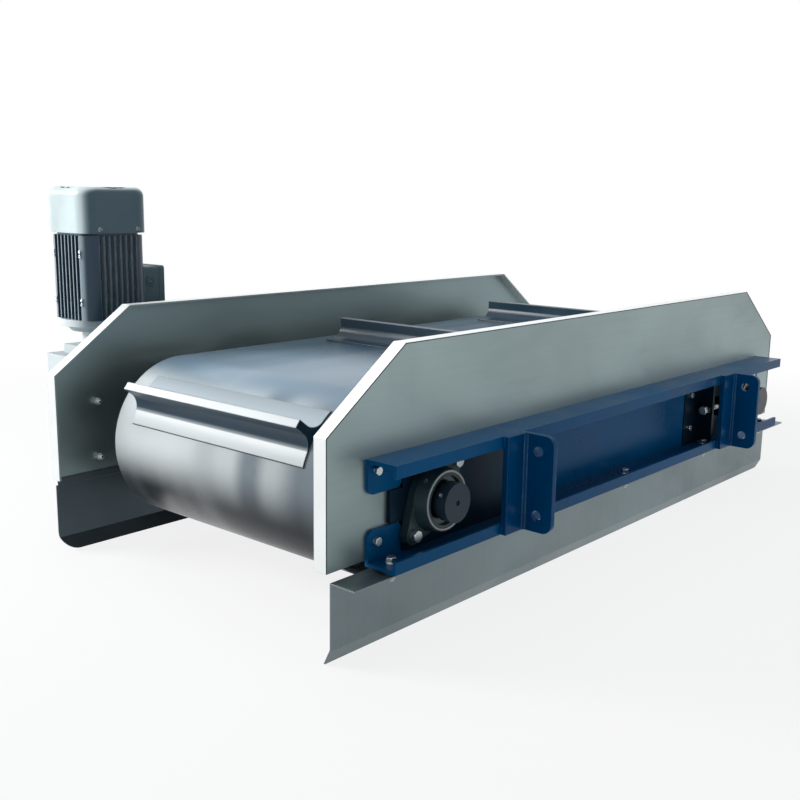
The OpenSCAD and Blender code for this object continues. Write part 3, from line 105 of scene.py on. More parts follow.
# Materials
class Graph:
    """A small helper to wire the nodes of one material."""

    def __init__(self, name):
        self.mat = bpy.data.materials.new(name)
        self.mat.use_nodes = True
        self.t = self.mat.node_tree
        self.t.nodes.clear()
        self.out = self.new("ShaderNodeOutputMaterial")
        self.shader = self.new("ShaderNodeBsdfPrincipled")
        self.link(self.shader.outputs[0], self.out.inputs[0])
        self.coord = self.new("ShaderNodeTexCoord")

    def new(self, kind):
        return self.t.nodes.new(kind)

    def link(self, a, b):
        self.t.links.new(a, b)

    def set(self, socket, value):
        """A value that is the same all over the surface, on the shader's own socket."""
        self.shader.inputs[socket].default_value = value

    def noise(self, scale, detail=3, rough=0.5, stretch=(1, 1, 1), distortion=0.0):
        place = self.new("ShaderNodeMapping")
        place.inputs["Scale"].default_value = stretch
        self.link(self.coord.outputs["Object"], place.inputs[0])
        n = self.new("ShaderNodeTexNoise")
        n.inputs["Scale"].default_value = scale
        n.inputs["Detail"].default_value = detail
        n.inputs["Roughness"].default_value = rough
        n.inputs["Distortion"].default_value = distortion
        self.link(place.outputs[0], n.inputs["Vector"])
        return n.outputs[0]

    def ramp(self, value, low, high, a, b):
        """Maps value from low..high to a..b."""
        n = self.new("ShaderNodeMapRange")
        n.interpolation_type = "SMOOTHSTEP"
        for key, v in (("From Min", low), ("From Max", high), ("To Min", a), ("To Max", b)):
            n.inputs[key].default_value = v
        self.link(value, n.inputs["Value"])
        return n.outputs[0]

    def mix(self, fac, a, b):
        """A colour between a and b, which are colours or sockets."""
        n = self.new("ShaderNodeMix")
        n.data_type = "RGBA"
        self.link(fac, n.inputs[0])
        for socket, v in ((n.inputs[6], a), (n.inputs[7], b)):
            if isinstance(v, tuple):
                socket.default_value = (*v, 1)
            else:
                self.link(v, socket)
        return n.outputs[2]

    def math(self, op, a, b=None):
        n = self.new("ShaderNodeMath")
        n.operation = op
        for socket, v in zip(n.inputs, (a, b)):
            if v is None:
                continue
            if isinstance(v, (int, float)):
                socket.default_value = v
            else:
                self.link(v, socket)
        return n.outputs[0]

    def bevel(self, radius):
        """The surface's normal, rounded along edges; radius in metres."""
        n = self.new("ShaderNodeBevel")
        n.samples = 4
        n.inputs["Radius"].default_value = radius
        return n.outputs[0]

    def edges(self, radius):
        """1 on edges, 0 on flats, from a bevelled normal."""
        n = self.new("ShaderNodeVectorMath")
        n.operation = "DOT_PRODUCT"
        self.link(self.bevel(radius), n.inputs[0])
        self.link(self.new("ShaderNodeNewGeometry").outputs["Normal"], n.inputs[1])
        return self.ramp(n.outputs["Value"], 0.999, 0.85, 0.0, 1.0)

    def bump(self, height, strength, distance, normal):
        n = self.new("ShaderNodeBump")
        n.inputs["Strength"].default_value = strength
        n.inputs["Distance"].default_value = distance
        self.link(height, n.inputs["Height"])
        self.link(normal, n.inputs["Normal"])
        return n.outputs[0]

    def coordinate(self, kind, axis):
        n = self.new("ShaderNodeSeparateXYZ")
        self.link(self.coord.outputs[kind], n.inputs[0])
        return n.outputs["XYZ".index(axis)]

    def facing(self, axis):
        """One part of the surface's own normal."""
        return self.coordinate("Normal", axis)

    def position(self, axis):
        """One part of the place on the object, in metres."""
        return self.coordinate("Object", axis)


# How far the tone of a sheet or a paint drifts up and down, and the spread of a sheet's roughness
TONE_DRIFT, ROUGH_SPREAD = 0.12, 0.12
# Width of the bright edges of sheets in metres, partly worn metal and partly a painted highlight, and
# strength of their grain
SHEET_EDGE, SHEET_GRAIN = 0.0012, 0.06
# The pale colour serves for real streaks on rubber and for painted highlights
BLUE_TINT, PALE_STREAK_AND_HIGHLIGHT = (0.1, 0.5, 1.0), (0.68, 0.72, 0.73)
# Every material by its name
M = {}


def shade(c, f):
    return tuple(max(0.0, min(1.0, v * f)) for v in c)


def drifting(g, cloud, color, drift):
    """A colour that drifts with a cloudy noise."""
    return g.mix(g.ramp(cloud, 0.3, 0.7, 0.0, 1.0), shade(color, 1 - drift), shade(color, 1 + drift))


def steel(name, color, rough, grain=(4, 4, 400), metallic=0.85, edge_wear_and_highlight=0.5, folds=None, far_side_shade=None):
    """Milled or satin sheet: faint grain along one axis, cloudy smears, and brighter edges that are partly
    worn metal and partly a painted highlight.

    Faces that look along the plates' length or up (the fold strips) can get a painted highlight, and the far
    side a painted shade."""
    g = Graph(name)
    fine = g.noise(1.0, 4, 0.6, grain)
    cloud = g.noise(1.7, 4, 0.5, (1, 1, 1.4), 0.5)
    smudge = g.noise(5.5, 3, 0.55, (0.7, 1, 1.2), 0.8)
    base = drifting(g, cloud, color, TONE_DRIFT)
    base = g.mix(g.ramp(smudge, 0.52, 0.78, 0.0, 0.35), base, shade(color, 1 - 2 * TONE_DRIFT))
    base = g.mix(g.ramp(fine, 0.35, 0.65, 0.0, SHEET_GRAIN), base, shade(color, 0.7))
    # Brighter edges: partly worn metal, partly a painted highlight
    base = g.mix(g.math("MULTIPLY", g.edges(SHEET_EDGE), edge_wear_and_highlight), base, shade(color, 1.7))
    # Painted shade: the far plate and far skirt are darker by their place along Y
    if far_side_shade:
        base = g.mix(g.ramp(g.position("Y"), 0.1, 0.25, 0.0, 1.0), base, far_side_shade)
    # Painted highlight on faces that look along the plates or up, such as the fold strips
    if folds:
        base = g.mix(g.ramp(g.math("ABSOLUTE", g.facing("Y")), 0.6, 0.2, 0.0, 1.0), base, folds)
    g.link(base, g.shader.inputs["Base Color"])
    smears = g.ramp(smudge, 0.3, 0.75, rough - ROUGH_SPREAD / 2, rough + ROUGH_SPREAD / 2)
    g.link(g.math("ADD", smears, g.ramp(fine, 0.3, 0.7, -0.01, 0.02)), g.shader.inputs["Roughness"])
    g.set("Metallic", metallic)
    g.link(g.bump(fine, SHEET_GRAIN * 0.6, 0.0003, g.bevel(SHEET_EDGE)), g.shader.inputs["Normal"])
    M[name] = g.mat


def paint(name, color, rough, edge_color=None, radius=0.0016, edge_wear_and_highlight=0.55, peel=0.12, coat=0.35, spec=0.5,
          tint=None, side=None, front=None):
    """Sprayed paint: orange peel, soft tone changes and thin lighter edges, partly chipped paint and partly a
    painted highlight, as wide as radius in metres.

    Faces towards -Y (side) can get a painted shade, and faces towards -X (front) a painted highlight."""
    g = Graph(name)
    cloud = g.noise(5.0, 4, 0.55, (1, 1, 1), 0.3)
    speck = g.noise(60.0, 3, 0.6)
    base = drifting(g, cloud, color, TONE_DRIFT)
    # Painted shade on faces towards -Y
    if side:
        base = g.mix(g.ramp(g.facing("Y"), -0.45, -0.85, 0.0, 1.0), base, side)
    # Painted highlight on faces towards -X
    if front:
        base = g.mix(g.ramp(g.facing("X"), -0.8, -0.97, 0.0, 1.0), base, front)
    # Lighter edges: partly chipped paint, partly a painted highlight
    edge = g.math("MULTIPLY", g.edges(radius), g.ramp(speck, 0.3, 0.65, edge_wear_and_highlight * 0.45, edge_wear_and_highlight))
    base = g.mix(edge, base, edge_color or shade(color, 1.9))
    g.link(base, g.shader.inputs["Base Color"])
    g.link(g.ramp(cloud, 0.3, 0.7, rough - 0.05, rough + 0.08), g.shader.inputs["Roughness"])
    g.set("Specular IOR Level", spec)
    if tint:
        g.set("Specular Tint", (*tint, 1))
    g.set("Coat Weight", coat)
    g.set("Coat Roughness", 0.18)
    g.link(g.bump(g.noise(420.0, 2, 0.5), peel, 0.0004, g.bevel(radius)), g.shader.inputs["Normal"])
    M[name] = g.mat


def belt_reflection_and_streaks(g):
    """1 in the bands of painted reflection along the belt, near its middle and its near edge, and in faint
    random streaks elsewhere.
    """
    across = g.position("Y")
    inner, outer = g.ramp(across, -0.225, -0.185, 0.0, 0.85), g.ramp(across, -0.13, -0.17, 0.0, 1.0)
    band = g.math("MAXIMUM", g.math("MULTIPLY", inner, outer), g.ramp(across, -0.235, -0.3, 0.0, 0.85))
    return g.math("MAXIMUM", band, g.ramp(g.noise(1.0, 1, 0.4, (0.3, 7, 0.3)), 0.5, 0.7, 0.0, 0.35))


def rubber(name, color, rough, drift, streak, light, radius, edge_wear_and_highlight, spec, rear, upper=None, under=None,
           bands=None, front=None):
    """Smooth rubber with cloudy gloss, faint streaks and lighter edges, partly rubbing and partly a painted
    highlight.

    The belt has bands of painted reflection, a painted reflection on its top run that darkens towards its
    rear and far side, and painted shade low on its bends.
    The first cleats get a pale painted highlight, in the front tone or, on what looks almost straight up, the
    rear one."""
    g = Graph(name)
    cloud = g.noise(2.4, 2, 0.5, (1, 1.4, 1))
    lines = g.noise(1.0, 2, 0.5, streak)
    base = drifting(g, cloud, color, drift)
    # Painted reflection: darker bands along the belt, with faint random streaks
    if bands:
        base = g.mix(belt_reflection_and_streaks(g), base, bands)
    # Painted highlight on the upward faces of the first cleats
    if front:
        upward = g.ramp(g.facing("Z"), 0.0, 0.4, 0.0, 1.0)
        forward = g.ramp(g.position("X"), -0.6, -0.7, 0.0, 1.0)
        painted_front_highlight = g.mix(g.ramp(g.facing("Z"), 0.62, 0.66, 0.0, 1.0), front, rear)
        base = g.mix(g.math("MULTIPLY", upward, forward), base, painted_front_highlight)
    # Painted reflection on the top run: bluish at the front, darker towards the rear and far side
    if upper:
        top = g.mix(g.ramp(g.position("X"), -0.5, -0.2, 0.0, 1.0), upper, rear)
        top = g.mix(g.ramp(g.position("Y"), 0.02, 0.2, 0.0, 0.6), top, rear)
        base = g.mix(g.ramp(g.facing("Z"), 0.75, 0.97, 0.0, 1.0), base, top)
    # Painted shade: darker low on the bends
    if under:
        base = g.mix(g.ramp(g.position("Z"), 0.25, 0.15, 0.0, 1.0), base, under)
    base = g.mix(g.ramp(lines, 0.4, 0.7, 0.0, 0.15), base, light)
    # Lighter edges: partly rubbing, partly a painted highlight
    base = g.mix(g.math("MULTIPLY", g.edges(radius), edge_wear_and_highlight), base, light)
    g.link(base, g.shader.inputs["Base Color"])
    g.link(g.ramp(cloud, 0.25, 0.75, rough - 0.04, rough + 0.08), g.shader.inputs["Roughness"])
    g.set("Specular IOR Level", spec)
    g.link(g.bevel(radius), g.shader.inputs["Normal"])
    M[name] = g.mat


# The side plates get a near-white painted highlight on their fold strips and a painted shade on the far plate
steel("side_plate", (0.262, 0.335, 0.34), 0.42, (3, 3, 260), folds=(0.86, 0.89, 0.89),
      far_side_shade=(0.225, 0.295, 0.305))
paint("channel_blue", (0.0, 0.09, 0.24), 0.3, (0.07, 0.17, 0.32), coat=0.0, spec=0.12, tint=BLUE_TINT)
paint("hanger_blue", (0.0, 0.072, 0.212), 0.3, (0.16, 0.27, 0.42), radius=0.0024, coat=0.0, spec=0.12,
      tint=BLUE_TINT)
# The far skirt gets a dark painted shade
steel("skirt_sheet", (0.185, 0.23, 0.245), 0.45, (240, 3, 3), edge_wear_and_highlight=0.3, far_side_shade=(0.055, 0.075, 0.088))
paint("beam_paint", (0.2, 0.22, 0.23), 0.4)
steel("magnet_sheet", (0.55, 0.57, 0.58), 0.3, (3, 200, 3))
steel("yoke_steel", (0.16, 0.16, 0.17), 0.5)
paint("magnet_block", (0.04, 0.04, 0.045), 0.6, coat=0.0)
# The belt's bands, top run and rear tones are painted reflection, its dark bends painted shade and its pale
# edges a painted highlight
rubber("belt_rubber", (0.61, 0.65, 0.66), 0.27, drift=0.16, streak=(0.4, 9, 0.4), light=PALE_STREAK_AND_HIGHLIGHT,
       radius=0.002, edge_wear_and_highlight=0.6, spec=0.25, rear=(0.012, 0.065, 0.12), upper=(0.25, 0.36, 0.46),
       under=(0.018, 0.025, 0.03), bands=(0.17, 0.215, 0.25))
# The first cleats' pale tones and the cleats' light edges are a painted highlight
rubber("cleat_rubber", (0.006, 0.034, 0.062), 0.3, drift=0.14, streak=(30, 2, 2), light=(0.34, 0.38, 0.41),
       radius=0.0026, edge_wear_and_highlight=0.9, spec=0.3, rear=(0.52, 0.6, 0.65), front=PALE_STREAK_AND_HIGHLIGHT)
paint("bearing_plate", (0.003, 0.012, 0.024), 0.42, (0.03, 0.05, 0.07), coat=0.0, spec=0.2,
      tint=(0.2, 0.6, 1.0))
paint("bearing_case", (0.022, 0.05, 0.058), 0.42, (0.09, 0.12, 0.13), peel=0.4, coat=0.0, spec=0.3)
steel("bearing_steel", (0.045, 0.056, 0.06), 0.25, (3, 3, 3), metallic=1.0)
paint("sleeve_steel", (0.01, 0.028, 0.045), 0.36, (0.12, 0.16, 0.19), peel=0.03, coat=0.0, spec=0.22)
paint("drum_steel", (0.06, 0.07, 0.075), 0.45)
steel("shaft_steel", (0.2, 0.215, 0.23), 0.36, (3, 300, 3), metallic=0.8)
steel("zinc", (0.55, 0.6, 0.62), 0.3, (40, 40, 40), metallic=0.9)
paint("cap_plastic", (0.006, 0.01, 0.016), 0.42, (0.04, 0.05, 0.07), coat=0.0)
# The gear housing gets a painted highlight on its faces towards -X
paint("gear_paint", (0.38, 0.45, 0.475), 0.35, (0.62, 0.68, 0.7), peel=0.3, coat=0.0, spec=0.35,
      front=(0.68, 0.74, 0.755))
steel("wheel_bronze", (0.55, 0.36, 0.14), 0.3, (60, 3, 60))
# The motor gets a painted highlight on faces towards -X and on its fins' lighter edges
paint("motor_paint", (0.028, 0.058, 0.09), 0.34, (0.4, 0.49, 0.54), radius=0.0024, edge_wear_and_highlight=0.95, coat=0.0,
      spec=0.35, front=(0.27, 0.34, 0.38))
# The fan cover gets a dark painted shade on its faces towards -Y
paint("fan_cover_paint", (0.62, 0.73, 0.74), 0.32, (0.8, 0.87, 0.87), coat=0.0, spec=0.35, edge_wear_and_highlight=0.3,
      side=(0.065, 0.12, 0.155))
steel("core_steel", (0.25, 0.22, 0.2), 0.5, (3, 3, 600))
paint("fan_plastic", (0.02, 0.02, 0.024), 0.5, coat=0.0)
paint("terminal_paint", (0.075, 0.13, 0.15), 0.36, (0.2, 0.27, 0.3), coat=0.0, spec=0.3)
paint("plug_plastic", (0.012, 0.013, 0.015), 0.4, coat=0.0)

slot_of = {s["node"]: s["material_slot"] for s in frame["record"]["subparts"]}
for node_name, obj in nodes.items():
    for i in range(max(1, len(obj.material_slots))):
        if not obj.material_slots:
            obj.data.materials.append(M[slot_of[node_name]])
        else:
            obj.material_slots[i].material = M[slot_of[node_name]]


# Studio, in metres and watts. The lamps: name, place, point aimed at, width and height, power
LAMPS = (("key", (-2.3, 2.25, 1.75), (-0.4, 0, 0.3), (1.3, 0.9), 90),
         ("top", (-0.4, 0.3, 3.1), (0, 0, 0.2), (2.6, 2.0), 26),
         ("fill", (1.0, -3.6, 0.7), (0, 0, 0.2), (3.0, 1.0), 9))
WHITE = (1, 1, 1, 1)
SKY_COLOR, SKY_LEVEL = (0.84, 0.93, 1.0, 1), 0.22
# The floor: half its width, how far it lies under the object, and its colour
FLOOR_HALF, FLOOR_DROP, FLOOR_COLOR = 14, 0.0015, (0.86, 0.87, 0.88, 1)
# It shows this share of plain white within the first distance from the middle, and all of it past the second
FLOOR_WHITE, FLOOR_FADE_START, FLOOR_FADE_END = 0.84, 1.2, 2.6


def add_area(name, place, target, size, power):
    data = bpy.data.lights.new(name, "AREA")
    data.shape, data.size, data.size_y = "RECTANGLE", size[0], size[1]
    data.energy = power
    lamp = bpy.data.objects.new(name, data)
    bpy.context.collection.objects.link(lamp)
    lamp.location = place
    lamp.rotation_euler = (Vector(target) - Vector(place)).to_track_quat("-Z", "Y").to_euler()


def backdrop_rays(tree):
    """1 for the rays that show the backdrop: camera, glossy and transmission rays."""
    path = tree.nodes.new("ShaderNodeLightPath")
    rays = path.outputs["Is Camera Ray"]
    for kind in ("Is Glossy Ray", "Is Transmission Ray"):
        either = tree.nodes.new("ShaderNodeMath")
        either.operation = "MAXIMUM"
        tree.links.new(rays, either.inputs[0])
        tree.links.new(path.outputs[kind], either.inputs[1])
        rays = either.outputs[0]
    return rays


def add_world():
    """A bluish sky that lights the object, in front of a plain white backdrop."""
    world = bpy.data.worlds.new("world")
    bpy.context.scene.world = world
    world.use_nodes = True
    t = world.node_tree
    t.nodes.clear()
    out, mix = t.nodes.new("ShaderNodeOutputWorld"), t.nodes.new("ShaderNodeMixShader")
    sky, back = t.nodes.new("ShaderNodeBackground"), t.nodes.new("ShaderNodeBackground")
    sky.inputs[0].default_value, sky.inputs[1].default_value = SKY_COLOR, SKY_LEVEL
    back.inputs[0].default_value, back.inputs[1].default_value = WHITE, 1.0
    t.links.new(backdrop_rays(t), mix.inputs[0])
    t.links.new(sky.outputs[0], mix.inputs[1])
    t.links.new(back.outputs[0], mix.inputs[2])
    t.links.new(mix.outputs[0], out.inputs[0])


def add_floor():
    """A floor that takes the object's soft shadow and fades into the white backdrop."""
    h = FLOOR_HALF
    mesh = bpy.data.meshes.new("floor")
    mesh.from_pydata([(-h, -h, 0), (h, -h, 0), (h, h, 0), (-h, h, 0)], [], [(0, 1, 2, 3)])
    floor = bpy.data.objects.new("floor", mesh)
    bpy.context.collection.objects.link(floor)
    g = Graph("floor")
    g.set("Base Color", FLOOR_COLOR)
    g.set("Roughness", 0.9)
    g.set("Specular IOR Level", 0.1)
    glow, blend = g.new("ShaderNodeEmission"), g.new("ShaderNodeMixShader")
    glow.inputs[0].default_value, glow.inputs[1].default_value = WHITE, 1.0
    distance = g.new("ShaderNodeVectorMath")
    distance.operation = "LENGTH"
    g.link(g.coord.outputs["Object"], distance.inputs[0])
    white = g.ramp(distance.outputs["Value"], FLOOR_FADE_START, FLOOR_FADE_END, FLOOR_WHITE, 1.0)
    g.link(g.math("MULTIPLY", white, backdrop_rays(g.t)), blend.inputs[0])
    g.link(g.shader.outputs[0], blend.inputs[1])
    g.link(glow.outputs[0], blend.inputs[2])
    g.link(blend.outputs[0], g.out.inputs[0])
    floor.data.materials.append(g.mat)
    floor.location.z = -FLOOR_DROP


# Mesh helpers
def new_piece(name, bm, slot, body, smooth=True):
    mesh = bpy.data.meshes.new(name)
    bm.normal_update()
    bm.to_mesh(mesh)
    bm.free()
    for f in mesh.polygons:
        f.use_smooth = smooth
    obj = bpy.data.objects.new(name, mesh)
    bpy.context.collection.objects.link(obj)
    mesh.materials.append(M[slot])
    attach(obj, body)
    return obj


def frame_of(direction):
    """Two directions across the given one, and that one at length 1."""
    d = Vector(direction).normalized()
    side = d.orthogonal().normalized()
    return side, d.cross(side).normalized(), d


def round_ring(bm, centre, a, b, radius, sides):
    """Vertices on a circle in the plane of a and b; radius in metres."""
    angles = (2 * math.pi * j / sides for j in range(sides))
    return [bm.verts.new(centre + (a * math.cos(t) + b * math.sin(t)) * radius) for t in angles]


def skin(bm, rings, closed=False):
    """Faces between neighbouring rings. In a closed skin the last joins the first, others get two caps."""
    n = len(rings[0])
    for q, w in zip(rings, rings[1:] + (rings[:1] if closed else [])):
        for j in range(n):
            bm.faces.new((q[j], q[(j + 1) % n], w[(j + 1) % n], w[j]))
    if not closed:
        bm.faces.new(list(reversed(rings[0])))
        bm.faces.new(rings[-1])


def add_tube(bm, points, radius, sides, ripple=0.0, waves=0.0, taper=True):
    """A swept bead through points, with its radius in metres.

    Ripple is the height of a weld's scales as a share of the radius, and waves their angle per metre."""
    rings = []
    # Rings lie half a radius apart, but no closer than this; a tapered end keeps this share of the radius
    closest, end_share = 0.0012, 0.35
    total = sum((points[i + 1] - points[i]).length for i in range(len(points) - 1))
    steps = max(2, int(total / max(closest, radius * 0.5)))
    for k in range(steps + 1):
        d = total * k / steps
        i = 0
        while i < len(points) - 2 and d > (points[i + 1] - points[i]).length:
            d -= (points[i + 1] - points[i]).length
            i += 1
        seg = points[i + 1] - points[i]
        a, b, along = frame_of(seg)
        r = radius * (1 + ripple * math.sin(waves * total * k / steps))
        if taper and k in (0, steps):
            r *= end_share
        rings.append(round_ring(bm, points[i] + along * min(d, seg.length), a, b, r, sides))
    skin(bm, rings)


def add_turned(bm, base, direction, profile, sides):
    """A turned form from pairs of a distance along it and a radius."""
    a, b, d = frame_of(direction)
    skin(bm, [round_ring(bm, base + d * along / 1000, a, b, r / 1000, sides) for along, r in profile])


def add_hex(bm, base, direction, head, turn=0.0):
    """A hexagon head: six flats, a turned crown that cuts the corners, a shallow dish on top."""
    across, height = head
    corner = across / 2 / math.cos(math.pi / 6)
    a, b, d = frame_of(direction)
    sides = 36
    # Share of the height, and the crown's radius as a share of the corners'
    levels = ((0, 1.0), (0.62, 1.0), (0.8, 0.985), (0.92, 0.95), (1.0, 0.88), (1.0, 0.6))
    rings = []
    for h, k in levels:
        ring = []
        for j in range(sides):
            t = 2 * math.pi * j / sides
            flat = (across / 2) / math.cos((t + math.pi / 6) % (math.pi / 3) - math.pi / 6)
            out = (a * math.cos(t + turn) + b * math.sin(t + turn)) * min(flat, corner * k)
            ring.append(bm.verts.new(base + (d * height * h + out) / 1000))
        rings.append(ring)
    skin(bm, rings)


def add_thread(bm, base, direction, radius, length, pitch, depth, sides=20):
    """A screw thread as a ridge that climbs along a rod."""
    a, b, d = frame_of(direction)
    root = radius - depth
    # Share of the pitch along the ridge, and radius there
    profile = ((0.0, root), (0.4, radius), (0.6, radius), (1.0, root))
    rows = []
    for k in range(int(length / pitch * sides) + 1):
        t = 2 * math.pi * k / sides
        climb = pitch * k / sides
        side = a * math.cos(t) + b * math.sin(t)
        places = ((min(climb + u * pitch, length), r) for u, r in profile)
        rows.append([bm.verts.new(base + (d * along + side * r) / 1000) for along, r in places])
    for q, w in zip(rows, rows[1:]):
        for j in range(len(profile) - 1):
            bm.faces.new((q[j], q[j + 1], w[j + 1], w[j]))


def add_bolt(bm, base, direction, head, turn):
    """A washer on a face, with a hexagon head on it."""
    across, height, washer = head
    disc = ((0, across * 0.5), (washer * 0.85, across * 0.5), (washer, across * 0.47), (washer, across * 0.3))
    add_turned(bm, base, direction, disc, 28)
    add_hex(bm, base + direction * washer / 1000, direction, (across, height), turn)


# Bolts and screws
def unit_bolts(x, body, node):
    """Two slanted bolts through the flange of the near and of the far bearing unit."""
    bm = bmesh.new()
    for side in (TO_NEAR, TO_FAR):
        y = side.y * (UNIT_Y + UNIT_FLANGE)
        for offset in (-UNIT_BOLT, UNIT_BOLT):
            add_bolt(bm, P(x + offset, y, AXIS_Z + offset), side, UNIT_HEAD, random.uniform(0, 1))
    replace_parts(new_piece(node + "_dressed", bm, "zinc", body, smooth=False), node)


def leg_bolts(bm, side):
    """Bolts at the channel's ends, with nuts and threaded ends inside the plate."""
    s = side.y
    nut_y = s * (PLATE_Y - PLATE_T)
    end_y = nut_y - s * (LEG_NUT[1] + LEG_NUT[2])
    for x in LEG_BOLT_X:
        for z in LEG_BOLT_Z:
            add_bolt(bm, P(x, s * WEB_Y, z), side, LEG_HEAD, random.uniform(0, 1))
            add_bolt(bm, P(x, nut_y, z), -side, LEG_NUT, random.uniform(0, 1))
            add_turned(bm, P(x, end_y, z), -side, ((0, 3.9), (4.2, 3.9), (5, 3.2)), 20)


def anchor_bolts(bm, side):
    """The two screws of a take-up anchor."""
    for z in (AXIS_Z + ANCHOR_BOLT_DZ, AXIS_Z - ANCHOR_BOLT_DZ):
        add_bolt(bm, P(ANCHOR_BOLT_X, side.y * UNIT_Y, z), side, LEG_HEAD, random.uniform(0, 1))


def skirt_bolts(bm, side):
    """Bolts down through the channel's lower flange and the skirt's, with nuts and threaded ends below."""
    for x in SKIRT_BOLT_X:
        washer, head, under, nut, end = (P(x, side.y * SKIRT_BOLT_Y, z) for z in SKIRT_BOLT_LEVELS)
        add_turned(bm, washer, UP, ((0, 10), (1.6, 10), (2, 9.4), (2, 5)), 28)
        add_hex(bm, head, UP, SKIRT_HEAD, random.uniform(0, 1))
        add_turned(bm, under, DOWN, ((0, 10), (6, 10)), 28)
        add_hex(bm, nut, DOWN, SKIRT_NUT, random.uniform(0, 1))
        add_turned(bm, end, DOWN, ((0, 4.2), (4.4, 4.2), (5, 3.6)), 20)
        add_thread(bm, end, DOWN, radius=5.0, length=4.6, pitch=1.5, depth=0.8)


def frame_bolts():
    bm = bmesh.new()
    for side in (TO_NEAR, TO_FAR):
        leg_bolts(bm, side)
        anchor_bolts(bm, side)
        skirt_bolts(bm, side)
    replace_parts(new_piece("frame_bolts_dressed", bm, "zinc", "frame", smooth=False), "frame_bolts")


def take_up_screw(s, body, node):
    """Head, threaded shank and retained tip of a take-up screw."""
    bm = bmesh.new()
    seat, tip = (P(x, s * SCREW_Y, AXIS_Z) for x in (SCREW_HEAD_X, SCREW_TIP_X))
    shank = ((0, 5.6), (64, 5.6), (64, 4.5), (76, 4.5))
    collar = ((0, 7.5), (2.6, 7.5), (3.4, 6.8), (3.8, 4.2))
    add_hex(bm, seat, TO_FRONT, SCREW_HEAD)
    add_turned(bm, seat, TO_REAR, shank, 24)
    add_thread(bm, seat, TO_REAR, radius=6.5, length=63, pitch=2.5, depth=0.9, sides=24)
    add_turned(bm, tip, TO_REAR, collar, 24)
    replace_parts(new_piece(node + "_dressed", bm, "zinc", body), node)


# Welds. Their beads' radii are in metres; a weld's scales stand this share of its radius high
SCALE_HEIGHT, SCALE_WAVES = 0.12, 1700
# Both ends of each hanger along X, and the heights along which it is welded to the channel's lips
HANGER_SPANS, HANGER_WELD_SPANS = ((348, 408), (1176, 1236)), ((-7, 9), (141, 157))
# Thickness of the hanger angles, both ends of their fillets along Z, and the place of their beads along Y
HANGER_T, FILLET_Z, HANGER_BEAD_Y = 10, (-8.9, 158.9), LIP_Y + 1.2
HANGER_BEAD, CORNER_BEAD, BEAM_BEAD = 0.0032, 0.0011, 0.003
# Corners of the side plates' folds, how far inside them the short weld across the fold runs, and its depths
FOLD_CORNERS, CORNER_IN_X, CORNER_IN_Z = ((0, 204), (171, 325), (1429, 325), (1600, 204)), 1.4, 0.6
CORNER_DEPTHS = (1, 24)
# Middles of the cross beams, half their width at the bead, their top, and the ends of their upright beads
BEAM_X, BEAM_HALF, BEAM_TOP, BEAM_BEAD_Z, BEAM_BEAD_Y = (545, 1025), 30, 177, (129, 175), 359.5


def hanger_welds():
    bm = bmesh.new()
    for span in HANGER_SPANS:
        for s in (-1, 1):
            y = s * HANGER_BEAD_Y
            for z0, z1 in HANGER_WELD_SPANS:
                for x in span:
                    add_tube(bm, [P(x, y, z0), P(x, y, z1)], HANGER_BEAD, 9, SCALE_HEIGHT, SCALE_WAVES)
    new_piece("hanger_welds", bm, "hanger_blue", "frame")


def fold_corner_welds():
    bm = bmesh.new()
    for s in (-1, 1):
        for x, z in FOLD_CORNERS:
            inside = x + (CORNER_IN_X if x < PLATE_LEN / 2 else -CORNER_IN_X)
            ends = [P(inside, s * (PLATE_Y - depth), z - CORNER_IN_Z) for depth in CORNER_DEPTHS]
            add_tube(bm, ends, CORNER_BEAD, 8, ripple=0.15, waves=2600)
    new_piece("fold_corner_welds", bm, "side_plate", "frame")


def beam_welds():
    bm = bmesh.new()
    for x in BEAM_X:
        for s in (-1, 1):
            y = s * BEAM_BEAD_Y
            lines = [[P(x + dx, y, z) for z in BEAM_BEAD_Z] for dx in (-BEAM_HALF, BEAM_HALF)]
            lines.append([P(x + dx, y, BEAM_TOP) for dx in (1 - BEAM_HALF, BEAM_HALF - 1)])
            for line in lines:
                add_tube(bm, line, BEAM_BEAD, 8, SCALE_HEIGHT, SCALE_WAVES)
    new_piece("beam_welds", bm, "beam_paint", "frame")


def hanger_fillets():
    """The rolled inner corner of each hanger angle."""
    bm = bmesh.new()
    inner_y, r, sunk, steps = LIP_Y + HANGER_T, 6.0, 0.4, 8
    for _, end in HANGER_SPANS:
        x = end - HANGER_T
        for s in (-1, 1):
            rows = []
            for z in FILLET_Z:
                row = [P(x + sunk, s * (inner_y - sunk), z)]
                for k in range(steps + 1):
                    t = math.pi / 2 * k / steps
                    row.append(P(x - r + r * math.sin(t), s * (inner_y + r - r * math.cos(t)), z))
                rows.append([bm.verts.new(v) for v in row])
            skin(bm, rows)
    bmesh.ops.recalc_face_normals(bm, faces=bm.faces)
    new_piece("hanger_fillets", bm, "hanger_blue", "frame")


# Bearing units
def nipples(x, body, label):
    """Grease nipples on the bearing housings, with their hexagon and ball end."""
    bm = bmesh.new()
    slant, seat_y, hexagon = 35.4, UNIT_Y + 24, (8, 4)
    ball_end = ((0, 2.6), (2.4, 2.6), (3.4, 3.1), (4.6, 2.4), (5.4, 1.2))
    for s in (-1, 1):
        d = Vector((-0.62, s * 0.48, 0.62)).normalized()
        base = P(x - slant, s * seat_y, AXIS_Z + slant)
        add_hex(bm, base, d, hexagon)
        add_turned(bm, base + d * hexagon[1] / 1000, d, ball_end, 16)
    new_piece(label, bm, "bearing_case", body)


